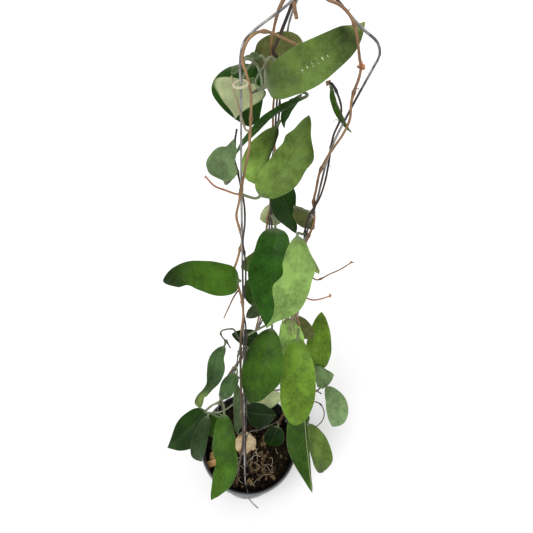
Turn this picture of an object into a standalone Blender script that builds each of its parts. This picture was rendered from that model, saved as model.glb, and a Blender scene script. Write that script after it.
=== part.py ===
"""A hoya trained up the wire hanger of its nursery pot, built piece by piece.

Metres, +Z up. The origin is the middle of the pot's flat base. +X is to the right of the plant's
front, +Y goes to its back. The hanger leans back and a little to the right, as the plant pulls it.
"""

import math

import bmesh
import bpy
from mathutils import Matrix, Quaternion, Vector

# ---------------------------------------------------------------- driving dimensions (metres)
GAP = 0.0003                    # clearance between pieces that touch

POT_HEIGHT = 0.112
POT_BASE_RADIUS = 0.053
POT_RIM_RADIUS = 0.0718         # outside of the wall just under the lip
POT_WALL = 0.0012
POT_FOOT_ROUND = 0.002          # the slope between the flat base and the wall
POT_EDGE_ROUND = 0.001
LIP_RADIUS = 0.0752
LIP_DROP = 0.0085
LIP_WIDTH = 0.0031
POT_SEGMENTS = 48
DRAIN_HOLES = 8
DRAIN_RING_RADIUS = 0.036
DRAIN_HOLE_RADIUS = 0.004
EYE_HEIGHT = 0.0990             # holes under the lip that take the hanger's wires
EYE_RADIUS = 0.0024
EYE_PASS = 0.003                # how far a wire runs square to the wall on each side of an eye
EYE_AZIMUTHS = {"front": -87.0, "right": 32.0, "back": 150.0}
CUTTER_SIDES = 12
CUTTER_DEPTH = 0.009

MIX_TOP = 0.094
MIX_BOTTOM = POT_WALL + GAP
MIX_EDGE_DROP = 0.003           # the mix slopes down where it meets the wall
MIX_SEGMENTS = 32

WIRE_RADIUS = 0.001
WIRE_SIDES = 6
BUNDLE_OFFSET = 0.00118         # four wires side by side in the sleeve
SLEEVE_RADIUS = 0.0042
SLEEVE_BORE = 0.00305
SLEEVE_LENGTH = 0.015
SLEEVE_SIDES = 16
APEX = Vector((0.028, 0.105, 0.674))     # bottom of the sleeve, on its axis
HOOK_RADIUS = 0.0125
HOOK_RISE = 0.020
HOOK_SWEEP = 235.0
HOOK_ROWS = 14
WIRE_STEP = 0.008
WIRE_END = 0.001                # a wire stops this far from the end of the sleeve

STEM_SIDES = 5
STEM_STEP = 0.013
STEM_TAPER = 0.75               # a stem's radius at its end, as a share of its radius at its foot
SHOOT_START = 0.002             # a side shoot leaves its stem square, for this far
LEAF_COLUMNS = 8                # points round a leaf's cross-section
LEAF_ROWS = 7
STALK_ROWS = 3
STALK_RADIUS = 0.0011
STALK_OUT = 0.4                 # how far a stalk runs on from its stem, as a share of its length
STALK_IN = 0.35                 # and in line with its blade
BLADE_THICKNESS = 0.0013
BLADE_THINNING = 0.5            # how much thinner a blade is at its tip
BLADE_FIRST, BLADE_LAST = 0.006, 0.992   # the outline stays a little wider than nothing at the ends
BLADE_WAVES = 1.7               # waves of the margin along a blade


def mm(x, y, z):
    return Vector((x, y, z)) * 0.001


# ---------------------------------------------------------------- materials
def material(name, colour, roughness, metallic=0.0):
    made = bpy.data.materials.new(name)
    made.use_nodes = True
    shader = made.node_tree.nodes["Principled BSDF"]
    shader.inputs["Base Color"].default_value = (*colour, 1.0)
    shader.inputs["Roughness"].default_value = roughness
    shader.inputs["Metallic"].default_value = metallic
    return made


# ---------------------------------------------------------------- paths
def smooth_path(points, step):
    """A centripetal Catmull-Rom curve through the points, read about every step metres."""
    ends = [2 * points[0] - points[1], *points, 2 * points[-1] - points[-2]]
    path = [points[0].copy()]
    for a, b, c, d in zip(ends, ends[1:], ends[2:], ends[3:]):
        t1 = math.sqrt((b - a).length)
        t2 = t1 + math.sqrt((c - b).length)
        t3 = t2 + math.sqrt((d - c).length)
        pieces = max(1, round((c - b).length / step))
        for i in range(1, pieces + 1):
            t = t1 + (t2 - t1) * i / pieces
            ab = a.lerp(b, t / t1)
            bc = b.lerp(c, (t - t1) / (t2 - t1))
            cd = c.lerp(d, (t - t2) / (t3 - t2))
            first, second = ab.lerp(bc, t / t2), bc.lerp(cd, (t - t1) / (t3 - t1))
            path.append(first.lerp(second, (t - t1) / (t2 - t1)))
    return path


def tangents(path):
    ahead = [*path[1:], 2 * path[-1] - path[-2]]
    behind = [2 * path[0] - path[1], *path[:-1]]
    return [(b - a).normalized() for a, b in zip(behind, ahead)]


def at_height(path, height):
    """The point of a rising path at this height, and the path's direction there."""
    for a, b in zip(path, path[1:]):
        if a.z <= height <= b.z:
            return a.lerp(b, (height - a.z) / (b.z - a.z)), (b - a).normalized()
    raise ValueError(f"the path has no height {height}")


def beside(wire, height, angle, distance):
    """A point beside a wire: angle 0 is its right, 90 its front, 180 its left, 270 its back."""
    centre, along = at_height(WIRE_PATHS[wire], height)
    right = (Vector((1, 0, 0)) - along * along.x).normalized()
    front = right.cross(along) * -1
    if front.y > 0:
        front = -front
    turn = math.radians(angle)
    return centre + (right * math.cos(turn) + front * math.sin(turn)) * distance


def twine(wire, start, end, angle, pitch, distance):
    """Points of a vine that winds round a wire from one height to another."""
    count = max(2, round(abs(end - start) / pitch * 8))
    points = []
    for i in range(count + 1):
        height = start + (end - start) * i / count
        points.append(beside(wire, height, angle + 360.0 * (height - start) / pitch, distance))
    return points


def foot(x, y):
    """Where a stem stands on the mix, from its place in millimetres."""
    return Vector((x * 0.001, y * 0.001, MIX_TOP + GAP))


def wall_outside(height):
    low, high = POT_FOOT_ROUND, POT_HEIGHT - LIP_DROP
    return POT_BASE_RADIUS + (POT_RIM_RADIUS - POT_BASE_RADIUS) * (height - low) / (high - low)


def eye(side, inwards=0.0):
    """The middle of a wire's hole in the pot's wall, or a point this far inwards from it."""
    turn = math.radians(EYE_AZIMUTHS[side])
    radius = wall_outside(EYE_HEIGHT) - POT_WALL / 2 - inwards
    return Vector((radius * math.cos(turn), radius * math.sin(turn), EYE_HEIGHT))


def through_eye(side):
    """The points where a wire passes square through the pot's wall, from outside to inside."""
    return [eye(side, inwards) for inwards in (-EYE_PASS, 0.0, EYE_PASS)]


def bundle(index):
    turn = math.radians(45 + 90 * index)
    return APEX + Vector((math.cos(turn), math.sin(turn), 0)) * BUNDLE_OFFSET * math.sqrt(2)


# ---------------------------------------------------------------- layout of the hanger's wires
UP = Vector((0, 0, 1))
WIRE_ROUTES = {
    "front": [mm(20, -85, 92), mm(10, -79, 96), *through_eye("front"), mm(1, -64.5, 108),
              mm(-1, -61, 130), mm(-6, -33, 235), mm(-12, 10, 386), mm(-18, 46, 512), mm(-21, 69, 592),
              mm(-22, 75, 613), mm(-20, 80, 622), mm(-13, 85, 629), mm(13, 97, 647), mm(23, 103, 660)],
    "right": [mm(90, 56, 95), mm(74, 46, 97), *through_eye("right"), mm(55.5, 35, 108),
              mm(58, 37, 150), mm(58, 41, 205), mm(56, 44, 270), mm(50, 47, 340), mm(46, 49, 382),
              mm(44, 53, 430), mm(45, 57, 472), mm(50, 63, 502), mm(55, 70, 548), mm(65, 76, 578),
              mm(79, 85, 611), mm(82, 87, 619), mm(79, 89, 626), mm(66, 92, 634), mm(48, 98, 647),
              mm(34, 104, 660)],
    "back": [mm(-82, 48, 93), mm(-70, 41, 96), *through_eye("back"), mm(-55.5, 33, 108),
             mm(-51, 38, 150), mm(-36, 50, 201), mm(-20, 58, 240), mm(-5, 66, 281), mm(6, 74, 320),
             mm(10, 88, 389), mm(8, 100, 446), mm(8, 115, 507), mm(7, 135, 572), mm(9, 147, 602),
             mm(11, 147, 613), mm(13, 140, 630), mm(19, 126, 649), mm(25, 112, 661)],
}
BUNDLE_PLACES = {"front": 2, "right": 3, "back": 1}
HOOK_PLACE = 0
WIRE_PATHS = {}
for side, route in WIRE_ROUTES.items():
    end = bundle(BUNDLE_PLACES[side])
    WIRE_PATHS[side] = smooth_path([*route, end, end + UP * (SLEEVE_LENGTH - WIRE_END)], WIRE_STEP)

# ---------------------------------------------------------------- layout of the vines and stems
# Each is its radius and the points that it passes, from its foot upwards or outwards.
STEMS = {
    "vine_front_tan": (0.0014, [
        foot(-12, -60), mm(-12, -58, 120), mm(-11, -52, 150), beside("front", 0.185, 140, 0.0055),
        *[beside("front", *row) for row in (
            (0.225, 100, 0.0036), (0.255, 120, 0.0034), (0.290, 140, 0.0036), (0.320, 165, 0.0036),
            (0.345, 190, 0.0034), (0.365, 160, 0.0031), (0.380, 120, 0.0030), (0.396, 85, 0.0030),
            (0.410, 95, 0.0031), (0.424, 150, 0.0038), (0.436, 178, 0.0066), (0.445, 180, 0.0080),
            (0.453, 185, 0.0055), (0.463, 220, 0.0034), (0.473, 265, 0.0031), (0.484, 220, 0.0032),
            (0.497, 165, 0.0048), (0.508, 130, 0.0034), (0.516, 100, 0.0031), (0.526, 65, 0.0034),
            (0.538, 35, 0.0046), (0.551, 12, 0.0066), (0.565, 4, 0.0074), (0.578, 0, 0.0080),
            (0.593, 8, 0.0075), (0.603, 25, 0.0052), (0.611, 60, 0.0038))],
        mm(-18, 74, 622), mm(-12, 79, 628), mm(-4, 84, 629), mm(8, 90, 625), mm(20, 96, 620)]),
    "vine_front_dark": (0.0011, [
        foot(4, -44), mm(3, -42, 120), *[beside("front", *row) for row in (
            (0.160, 300, 0.0036), (0.200, 290, 0.0032), (0.240, 310, 0.0030), (0.275, 335, 0.0030),
            (0.310, 20, 0.0030), (0.335, 40, 0.0031), (0.358, 20, 0.0030), (0.380, 320, 0.0029),
            (0.402, 255, 0.0029), (0.422, 310, 0.0029), (0.440, 350, 0.0030), (0.458, 35, 0.0032),
            (0.474, 70, 0.0031), (0.490, 20, 0.0030), (0.505, 320, 0.0030), (0.520, 260, 0.0030),
            (0.533, 215, 0.0040), (0.545, 190, 0.0060), (0.556, 180, 0.0052), (0.566, 170, 0.0034))]]),
    "vine_right_brown": (0.0014, [
        foot(46, 30), mm(50, 33, 125), *twine("right", 0.155, 0.455, 90, 0.100, 0.0031),
        *[beside("right", *row) for row in (
            (0.470, 60, 0.0036), (0.483, 15, 0.0040), (0.492, 300, 0.0031), (0.502, 220, 0.0031),
            (0.515, 180, 0.0032), (0.530, 170, 0.0036), (0.543, 120, 0.0031), (0.553, 70, 0.0031),
            (0.565, 20, 0.0040), (0.576, 30, 0.0034), (0.586, 130, 0.0042))],
        mm(66.5, 76, 597), mm(68, 77, 604), mm(68, 78, 612), mm(66, 79, 617), mm(63.5, 82, 625),
        mm(58, 86, 635), mm(50, 90, 644), mm(41, 95, 650), mm(32, 97, 656), mm(23, 99, 668)]),
    "vine_right_dark": (0.0012, [
        foot(48, 42), mm(53, 44, 125), *twine("right", 0.155, 0.455, 270, 0.100, 0.0030),
        *[beside("right", *row) for row in (
            (0.470, 240, 0.0030), (0.483, 200, 0.0031), (0.495, 130, 0.0031), (0.507, 70, 0.0030),
            (0.522, 20, 0.0031), (0.537, 330, 0.0031), (0.550, 280, 0.0031), (0.562, 210, 0.0030),
            (0.572, 190, 0.0035))],
        mm(59.5, 80, 582), mm(55, 84, 591), mm(50, 87, 597), mm(46, 89, 598)]),
    "vine_back_brown": (0.0014, [
        foot(-40, 30), mm(-44, 34, 122), *twine("back", 0.160, 0.560, 60, 0.120, 0.0031),
        *[beside("back", *row) for row in (
            (0.575, 180, 0.0032), (0.588, 180, 0.0045), (0.600, 175, 0.0075))],
        mm(0.5, 146, 609), mm(0, 142, 622), mm(2, 135, 635), mm(6, 127, 645), mm(12, 118, 655),
        mm(18, 110, 668)]),
    "vine_back_dark": (0.0012, [
        foot(-34, 40), mm(-40, 42, 122), *twine("back", 0.160, 0.580, 240, 0.120, 0.0030),
        beside("back", 0.592, 320, 0.0031), beside("back", 0.604, 300, 0.0032)]),
    "runner_top": (0.0010, [
        mm(3.5, 129, 582), mm(0, 120, 586), mm(-3, 108, 588), mm(-6, 98, 588), mm(-10, 89, 588),
        mm(-14.5, 81, 587)]),
    "stem_left": (0.0011, [
        foot(-30, -4), mm(-34, -4, 150), mm(-38, 0, 200), mm(-43, 10, 226), mm(-41, 18, 241),
        mm(-31, 23, 259), mm(-22, 23, 282), mm(-19, 19, 312), mm(-17.5, 13, 328), mm(-15.5, 8, 336)]),
    "stem_side_right": (0.0012, [
        mm(-28, 50, 212), mm(-8, 38, 214), mm(17, 28, 213), mm(40, 30, 214), mm(61, 30, 208),
        mm(80, 36, 203), mm(94, 41, 198), mm(103, 41, 191)]),
}
STEM_COLOURS = {"tan": (0.38, 0.24, 0.12), "dark": (0.10, 0.06, 0.04), "pale": (0.36, 0.36, 0.22),
                "brown": (0.27, 0.13, 0.06)}

# Side shoots grow from a stem: the stem, their own radius and the points that they pass.
SIDE_SHOOTS = {
    "stem_right_loop": ("vine_right_dark", 0.0010, [
        mm(74, 35, 197), mm(84, 30, 192), mm(102, 30, 181), mm(111, 25, 161),
        mm(109, 20, 144), mm(98, 12, 137)]),
    "runner_pot": ("vine_front_tan", 0.0010, [
        mm(0, -14, 171), mm(12, -6, 160), mm(26, 6, 147), mm(41, 16, 142), mm(48, 24, 140)]),
    "side_shoot_pale": ("vine_front_tan", 0.0009, [
        beside("front", 0.570, 60, 0.0045), beside("front", 0.577, 95, 0.0031),
        beside("front", 0.585, 135, 0.0034), beside("front", 0.594, 168, 0.0056),
        beside("front", 0.602, 178, 0.0066)]),
    "stem_left_loop": ("vine_front_tan", 0.0010, [
        mm(-22, 11, 371), mm(-30, 14, 367), mm(-38, 18, 356), mm(-37, 20, 344), mm(-32, 21, 333),
        mm(-28, 19.5, 324)]),
    "peduncle_left": ("vine_front_tan", 0.0009, [
        mm(-31, 37, 524), mm(-38, 30, 531), mm(-43, 23, 542)]),
    "peduncle_low": ("vine_front_tan", 0.0008, [
        mm(-22, 8, 424), mm(-26, 3, 415), mm(-30, -2, 406)]),
    "peduncle_right": ("vine_right_brown", 0.0008, [
        mm(60, 43, 423), mm(72, 38, 437), mm(80, 33, 449), mm(87, 28, 463)]),
    "peduncle_orange": ("vine_right_dark", 0.0009, [
        mm(60, 41, 394), mm(69, 37, 401), mm(77, 33, 411)]),
}

# ---------------------------------------------------------------- layout of the leaves
# on: the stem that carries it. base, tip: the ends of the blade. turn: how far the blade is turned
# about its midrib, 0 with the upper side to the front and up. arch: how far the middle stands out,
# per length. cup: how far the edges bend to the upper side, in degrees. curl: how far the end bends
# to the upper side, from curl_from of the length, in degrees. sway: how far the midrib bows to its
# side. round, point: the outline's powers at the base and at the tip. node: the height where the
# stalk leaves the stem, where it isn't the nearest point.
LEAF_DEFAULTS = {"turn": 0, "arch": 0.06, "cup": 25, "curl": 0, "curl_from": 0.7, "wave": 0.02,
                 "sway": 0, "round": 0.55, "point": 0.75, "node": None}
LEAVES = {
    "leaf_top_big": {"on": "runner_top", "base": mm(-2, 82, 593), "tip": mm(69, 104, 635),
                     "width": 0.034, "arch": 0.04, "cup": 15, "curl": 25, "curl_from": 0.84,
                     "sway": 0.07, "round": 0.42, "point": 0.6},
    "leaf_top_behind": {"on": "vine_back_dark", "base": mm(16, 132, 590), "tip": mm(4, 135, 627),
                        "width": 0.044, "turn": 10, "cup": 10, "arch": 0.02},
    "leaf_top_curled": {"on": "vine_back_brown", "node": 0.600, "base": mm(-30, 122, 601),
                        "tip": mm(-17, 114, 550), "width": 0.058, "turn": 180, "cup": -60,
                        "arch": -0.05, "sway": -0.10},
    "leaf_long_edge": {"on": "vine_back_brown", "base": mm(29, 98, 582), "tip": mm(-27, 72, 538),
                       "width": 0.020, "turn": 68, "cup": 35, "arch": 0.08},
    "leaf_edge_short": {"on": "vine_back_dark", "base": mm(27, 118, 577), "tip": mm(3, 114, 562),
                        "width": 0.022, "turn": 30},
    "leaf_left_small": {"on": "vine_front_dark", "base": mm(-30, 34, 532), "tip": mm(-25, 46, 561),
                        "width": 0.031, "turn": -35, "cup": 45, "arch": 0.08, "curl": -30},
    "leaf_light_back": {"on": "vine_back_dark", "base": mm(10, 103, 556), "tip": mm(-16, 78, 504),
                        "width": 0.032, "turn": 15, "cup": 30},
    "leaf_right_bright": {"on": "vine_front_tan", "base": mm(0, 45, 517), "tip": mm(34, 77, 575),
                          "width": 0.036, "arch": 0.05, "cup": 22, "curl": -20, "curl_from": 0.7},
    "leaf_dark_middle": {"on": "vine_back_brown", "base": mm(14, 100, 503), "tip": mm(38, 89, 447),
                         "width": 0.028, "turn": -15, "cup": 30},
    "leaf_pale_middle": {"on": "vine_back_brown", "base": mm(23, 113, 460), "tip": mm(-3, 107, 450),
                         "width": 0.026, "turn": 175, "cup": 20},
    "leaf_olive_middle": {"on": "vine_right_brown", "base": mm(30, 80, 498), "tip": mm(53, 68, 470),
                          "width": 0.024, "turn": 20, "cup": 40, "curl": 40},
    "leaf_dark_large": {"on": "vine_back_dark", "base": mm(14, 70, 466), "tip": mm(13, 16, 373),
                        "width": 0.043, "turn": 8, "arch": 0.08, "cup": 30, "round": 0.42, "point": 0.9},
    "leaf_bright_wavy": {"on": "vine_right_dark", "base": mm(35, 44, 475), "tip": mm(13, -5, 399),
                         "width": 0.043, "round": 0.45, "point": 1.0, "turn": -12, "arch": 0.08,
                         "cup": 20, "wave": 0.09},
    "leaf_behind_wavy": {"on": "vine_right_dark", "base": mm(40, 82, 446), "tip": mm(65, 70, 402),
                         "width": 0.028, "turn": 15},
    "leaf_left_level": {"on": "vine_front_tan", "base": mm(-20, 15, 443), "tip": mm(-80, -6, 462),
                        "width": 0.031, "turn": 12, "arch": 0.07, "cup": 12, "curl": 25},
    "leaf_olive_left": {"on": "vine_back_dark", "base": mm(17, 78, 430), "tip": mm(-22, 62, 420),
                        "width": 0.026, "turn": -20},
    "leaf_grey_left": {"on": "vine_back_brown", "base": mm(14, 78, 378), "tip": mm(-20, 66, 374),
                       "width": 0.024, "turn": 30},
    "leaf_broad_middle": {"on": "vine_front_dark", "base": mm(23, 28, 360), "tip": mm(8, -31, 290),
                          "width": 0.042, "turn": 6, "arch": 0.09, "cup": 24},
    "leaf_under_broad": {"on": "vine_right_dark", "base": mm(35, 50, 353), "tip": mm(33, 3, 280),
                         "width": 0.036, "turn": -20, "cup": 30},
    "leaf_yellow_green": {"on": "vine_right_brown", "base": mm(51, 28, 341), "tip": mm(55, -42, 270),
                          "width": 0.045, "turn": 0, "arch": 0.09, "cup": 18},
    "leaf_right_upright": {"on": "vine_right_brown", "base": mm(86, 46, 252), "tip": mm(86, 88, 322),
                           "width": 0.036, "turn": -10, "cup": 25},
    "leaf_right_olive": {"on": "vine_right_dark", "base": mm(48, 76, 320), "tip": mm(76, 60, 300),
                         "width": 0.026, "turn": 10},
    "leaf_grey_right": {"on": "stem_side_right", "base": mm(84, 48, 238), "tip": mm(117, 36, 240),
                        "width": 0.030, "turn": 25, "cup": 30},
    "leaf_pale_right": {"on": "stem_side_right", "base": mm(101, 33, 212), "tip": mm(124, 2, 174),
                        "width": 0.042, "turn": -10, "cup": 18, "sway": -0.12},
    "leaf_right_long": {"on": "vine_right_dark", "node": 0.175, "base": mm(76, 10, 191),
                        "tip": mm(94, -69, 120), "width": 0.042, "turn": 8, "cup": 32,
                        "arch": 0.06, "sway": 0.11, "point": 0.9},
    "leaf_right_low": {"on": "vine_right_brown", "base": mm(90, 20, 135), "tip": mm(122, -28, 80),
                       "width": 0.040, "turn": -25, "cup": 20},
    "leaf_front_wavy": {"on": "stem_left", "node": 0.226, "base": mm(-35, -18, 236),
                        "tip": mm(-39, -100, 174), "width": 0.034, "turn": 8, "arch": 0.08,
                        "cup": 15, "wave": 0.09, "sway": -0.09},
    "leaf_left_far": {"on": "stem_left", "node": 0.208, "base": mm(-62, 0, 199),
                      "tip": mm(-112, -38, 160), "width": 0.040, "turn": 5, "arch": 0.12,
                      "cup": 12},
    "leaf_left_grey": {"on": "stem_left", "node": 0.190, "base": mm(-57, -10, 205),
                       "tip": mm(-65, -54, 160), "width": 0.026, "turn": 15, "cup": 35,
                       "curl": -25},
    "leaf_upper_left": {"on": "stem_left_loop", "base": mm(-38, 29, 312), "tip": mm(-66, -14, 264),
                        "width": 0.034, "turn": -25, "cup": 30, "curl": 70, "curl_from": 0.82,
                        "sway": -0.1},
    "leaf_grey_pot": {"on": "stem_left", "base": mm(-20, 12, 280), "tip": mm(-35, -4, 250),
                      "width": 0.022, "turn": 20},
    "leaf_upright_narrow": {"on": "vine_front_dark", "base": mm(-15, -27, 203), "tip": mm(-23, 22, 245),
                            "width": 0.026, "turn": 70, "cup": 30, "arch": 0.03},
    "leaf_dark_pot": {"on": "stem_side_right", "base": mm(2, 10, 192), "tip": mm(36, -12, 172),
                      "width": 0.038, "turn": 0},
    "leaf_pale_pot": {"on": "vine_back_dark", "base": mm(-8, 30, 188), "tip": mm(40, 34, 196),
                      "width": 0.030, "turn": 170},
    "leaf_behind_wire": {"on": "stem_left", "base": mm(2, 36, 331), "tip": mm(-29, 28, 328),
                         "width": 0.022, "turn": 10},
}
DEAD_LEAF = {"base": mm(-22, 1, 95), "tip": mm(14, -5, 96), "width": 0.030, "turn": -40,
             "arch": 0.12, "cup": -10, "wave": 0}


# ---------------------------------------------------------------- shapes
def loft(name, rings, finish):
    """A closed solid skinned over rings of points: a capped cylinder, cut in rows and then shaped."""
    sides = len(rings[0])
    rows = len(rings) - 1
    bm = bmesh.new()
    bmesh.ops.create_cone(bm, cap_ends=True, segments=sides, radius1=1, radius2=1, depth=1)
    uprights = [e for e in bm.edges if abs(e.verts[0].co.z - e.verts[1].co.z) > 0.5]
    if rows > 1:
        bmesh.ops.subdivide_edges(bm, edges=uprights, cuts=rows - 1, use_grid_fill=False)
    first_turn = min(math.atan2(v.co.y, v.co.x) % (2 * math.pi) for v in bm.verts)
    for v in bm.verts:
        row = round((v.co.z + 0.5) * rows)
        turn = (math.atan2(v.co.y, v.co.x) - first_turn) / (2 * math.pi) * sides
        v.co = rings[row][round(turn) % sides]
    return finished(name, bm, finish)


def finished(name, bm, finish, smooth=True):
    bmesh.ops.recalc_face_normals(bm, faces=bm.faces)
    if bm.calc_volume(signed=True) < 0:
        bmesh.ops.reverse_faces(bm, faces=bm.faces)
    mesh = bpy.data.meshes.new(name)
    bm.to_mesh(mesh)
    bm.free()
    mesh.materials.append(finish)
    if smooth:
        mesh.shade_smooth()
        mesh.set_sharp_from_angle(angle=math.radians(40))
    made = bpy.data.objects.new(name, mesh)
    bpy.context.collection.objects.link(made)
    return made


def tube_rings(path, radii, sides):
    """Rings square to a path, turned as little as possible from one to the next."""
    along = tangents(path)
    side = along[0].orthogonal().normalized()
    rings = []
    for point, direction, radius in zip(path, along, radii):
        side = (side - direction * side.dot(direction)).normalized()
        other = direction.cross(side)
        rings.append([
            point + (side * math.cos(a) + other * math.sin(a)) * radius
            for a in (2 * math.pi * k / sides for k in range(sides))
        ])
    return rings


def tube(name, path, radius, finish, sides=STEM_SIDES, taper=1.0):
    """A solid round bar along a path, its end radius taper times the first."""
    last = len(path) - 1
    radii = [radius * (1 + (taper - 1) * i / last) for i in range(last + 1)]
    return loft(name, tube_rings(path, radii, sides), finish)


def turned(name, profile, segments, finish):
    """A closed solid turned round +Z from (radius, height) points that start and end on the axis."""
    bm = bmesh.new()
    points = [bm.verts.new((r, 0, z)) for r, z in profile]
    edges = [bm.edges.new(pair) for pair in zip(points, points[1:])]
    bmesh.ops.spin(bm, geom=points + edges, cent=(0, 0, 0), axis=(0, 0, 1), angle=2 * math.pi,
                   steps=segments, use_merge=True)
    bmesh.ops.remove_doubles(bm, verts=bm.verts, dist=1e-6)
    return finished(name, bm, finish)


def cutter_cylinder(name, centre, axis, radius):
    bm = bmesh.new()
    bmesh.ops.create_cone(bm, cap_ends=True, segments=CUTTER_SIDES, radius1=radius, radius2=radius,
                          depth=CUTTER_DEPTH)
    turn = UP.rotation_difference(axis).to_matrix().to_4x4()
    bmesh.ops.transform(bm, matrix=Matrix.Translation(centre) @ turn, verts=bm.verts)
    made = finished(name, bm, bpy.data.materials[0], smooth=False)
    made.hide_render = True
    made.display_type = "WIRE"
    return made


def cut(target, cutters):
    for cutter in cutters:
        step = target.modifiers.new(cutter.name, "BOOLEAN")
        step.operation = "DIFFERENCE"
        step.solver = "EXACT"
        step.object = cutter


# ---------------------------------------------------------------- leaves
FRONT_UP = Vector((0, -0.75, 0.66)).normalized()


def outline(u, low, high):
    """Half-width of a blade along its length, 1 at its widest."""
    widest = low / (low + high)
    return (u / widest) ** low * ((1 - u) / (1 - widest)) ** high


def blade_spine(values, rows):
    """Points, directions and faces of a blade's midrib, after its arch, sway and curl."""
    base, tip = values["base"], values["tip"]
    chord = tip - base
    along = chord.normalized()
    face = (FRONT_UP - along * FRONT_UP.dot(along)).normalized()
    face = Quaternion(along, math.radians(values["turn"])) @ face
    side = along.cross(face)
    flat = []
    for i in range(rows + 1):
        u = i / rows
        bow = (face * values["arch"] + side * values["sway"]) * chord.length * 4 * u * (1 - u)
        flat.append(base + chord * u + bow)

    def curl_at(u):
        amount = max(0.0, (u - values["curl_from"]) / (1 - values["curl_from"]))
        return Quaternion(side, math.radians(values["curl"]) * amount)

    points, faces = [flat[0]], []
    for i, (a, b) in enumerate(zip(flat, flat[1:])):
        points.append(points[-1] + curl_at((i + 0.5) / rows) @ (b - a))
    directions = tangents(points)
    for i, direction in enumerate(directions):
        curled = curl_at(i / rows) @ face
        faces.append((curled - direction * curled.dot(direction)).normalized())
    return points, directions, faces


def blade_ring(centre, direction, face, half_width, half_thickness, cup=0.0, lift=0.0):
    """A flat ring across the blade, its edges bent to its face by cup degrees and lifted with it."""
    side = direction.cross(face)
    span = math.radians(cup)
    ring = []
    for k in range(LEAF_COLUMNS):
        turn = 2 * math.pi * k / LEAF_COLUMNS
        across, level = math.cos(turn), math.sin(turn)
        bend = span * across
        out, rise = across, 0.0
        if cup:
            out, rise = math.sin(bend) / span, (1 - math.cos(bend)) / span
        normal = face * math.cos(bend) - side * math.sin(bend)
        ring.append(centre + side * out * half_width + normal * level * half_thickness
                    + face * (rise * half_width + lift * across * across))
    return ring


def blade_rings(values, first_row=0):
    """The rings of a blade from its base to its tip, and its direction and face at the base."""
    points, directions, faces = blade_spine(values, LEAF_ROWS)
    rings = []
    for i in range(first_row, LEAF_ROWS + 1):
        u = i / LEAF_ROWS
        share = outline(min(max(u, BLADE_FIRST), BLADE_LAST), values["round"], values["point"])
        half_width = max(values["width"] / 2 * share, STALK_RADIUS)
        lift = values["wave"] * values["width"] * math.sin(u * 2 * math.pi * BLADE_WAVES)
        thick = BLADE_THICKNESS / 2 * (1 - BLADE_THINNING * u)
        cup = values["cup"] * math.sin(math.pi * u) ** 0.5 if 0 < u < 1 else 0.0
        rings.append(blade_ring(points[i], directions[i], faces[i], half_width, thick, cup, lift))
    return rings, directions[0], faces[0]


def growing_point(stem_name, base, height=None):
    """Where something leaves its stem, beside its nearest point or at a height, and the way out."""
    path = STEM_PATHS[stem_name]
    if height is None:
        nearest = min(path[1:-1], key=lambda p: (p - base).length)
    else:
        nearest = min(path[1:-1], key=lambda p: abs(p.z - height))
    here = path.index(nearest)
    along = tangents(path)[here]
    out = base - nearest
    out = (out - along * out.dot(along)).normalized()
    return nearest + out * (STEM_RADII[stem_name] + GAP), out


def leaf(name, values, finish):
    start, out = growing_point(values["on"], values["base"], values["node"])
    rings, direction, face = blade_rings(values, first_row=1)
    base = values["base"]
    reach = (base - start).length
    bend_a, bend_b = start + out * reach * STALK_OUT, base - direction * reach * STALK_IN
    stalk = []
    for i in range(STALK_ROWS + 1):
        t = i / STALK_ROWS
        middle = bend_a.lerp(bend_b, t)
        stalk.append(start.lerp(bend_a, t).lerp(middle, t).lerp(middle.lerp(bend_b.lerp(base, t), t), t))
    stalk_rings = []
    for point, along in zip(stalk, tangents(stalk)):
        lean = (face - along * face.dot(along)).normalized()
        stalk_rings.append(blade_ring(point, along, lean, STALK_RADIUS, STALK_RADIUS))
    return loft(name, stalk_rings + rings, finish)


# ---------------------------------------------------------------- pieces
def build_pot():
    black = material("pot_plastic", (0.015, 0.015, 0.017), 0.35)
    lip_bottom = POT_HEIGHT - LIP_DROP
    floor_radius = POT_BASE_RADIUS - POT_WALL
    profile = [
        (0, 0), (POT_BASE_RADIUS - POT_FOOT_ROUND, 0), (POT_BASE_RADIUS, POT_FOOT_ROUND),
        (POT_RIM_RADIUS, lip_bottom), (LIP_RADIUS, lip_bottom),
        (LIP_RADIUS, POT_HEIGHT - POT_EDGE_ROUND), (LIP_RADIUS - POT_EDGE_ROUND, POT_HEIGHT),
        (LIP_RADIUS - LIP_WIDTH, POT_HEIGHT), (POT_RIM_RADIUS - POT_WALL, lip_bottom - POT_EDGE_ROUND),
        (floor_radius, POT_WALL + POT_EDGE_ROUND), (floor_radius - POT_EDGE_ROUND, POT_WALL),
        (0, POT_WALL),
    ]
    pot = turned("pot", profile, POT_SEGMENTS, black)
    cutters = []
    for i in range(DRAIN_HOLES):
        turn = 2 * math.pi * (i + 0.5) / DRAIN_HOLES
        centre = Vector((math.cos(turn), math.sin(turn), 0)) * DRAIN_RING_RADIUS
        cutters.append(cutter_cylinder(f"drain_{i}", centre, UP, DRAIN_HOLE_RADIUS))
    for side in EYE_AZIMUTHS:
        centre = eye(side)
        outwards = Vector((centre.x, centre.y, 0)).normalized()
        cutters.append(cutter_cylinder(f"eye_{side}", centre, outwards, EYE_RADIUS))
    cut(pot, cutters)


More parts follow.
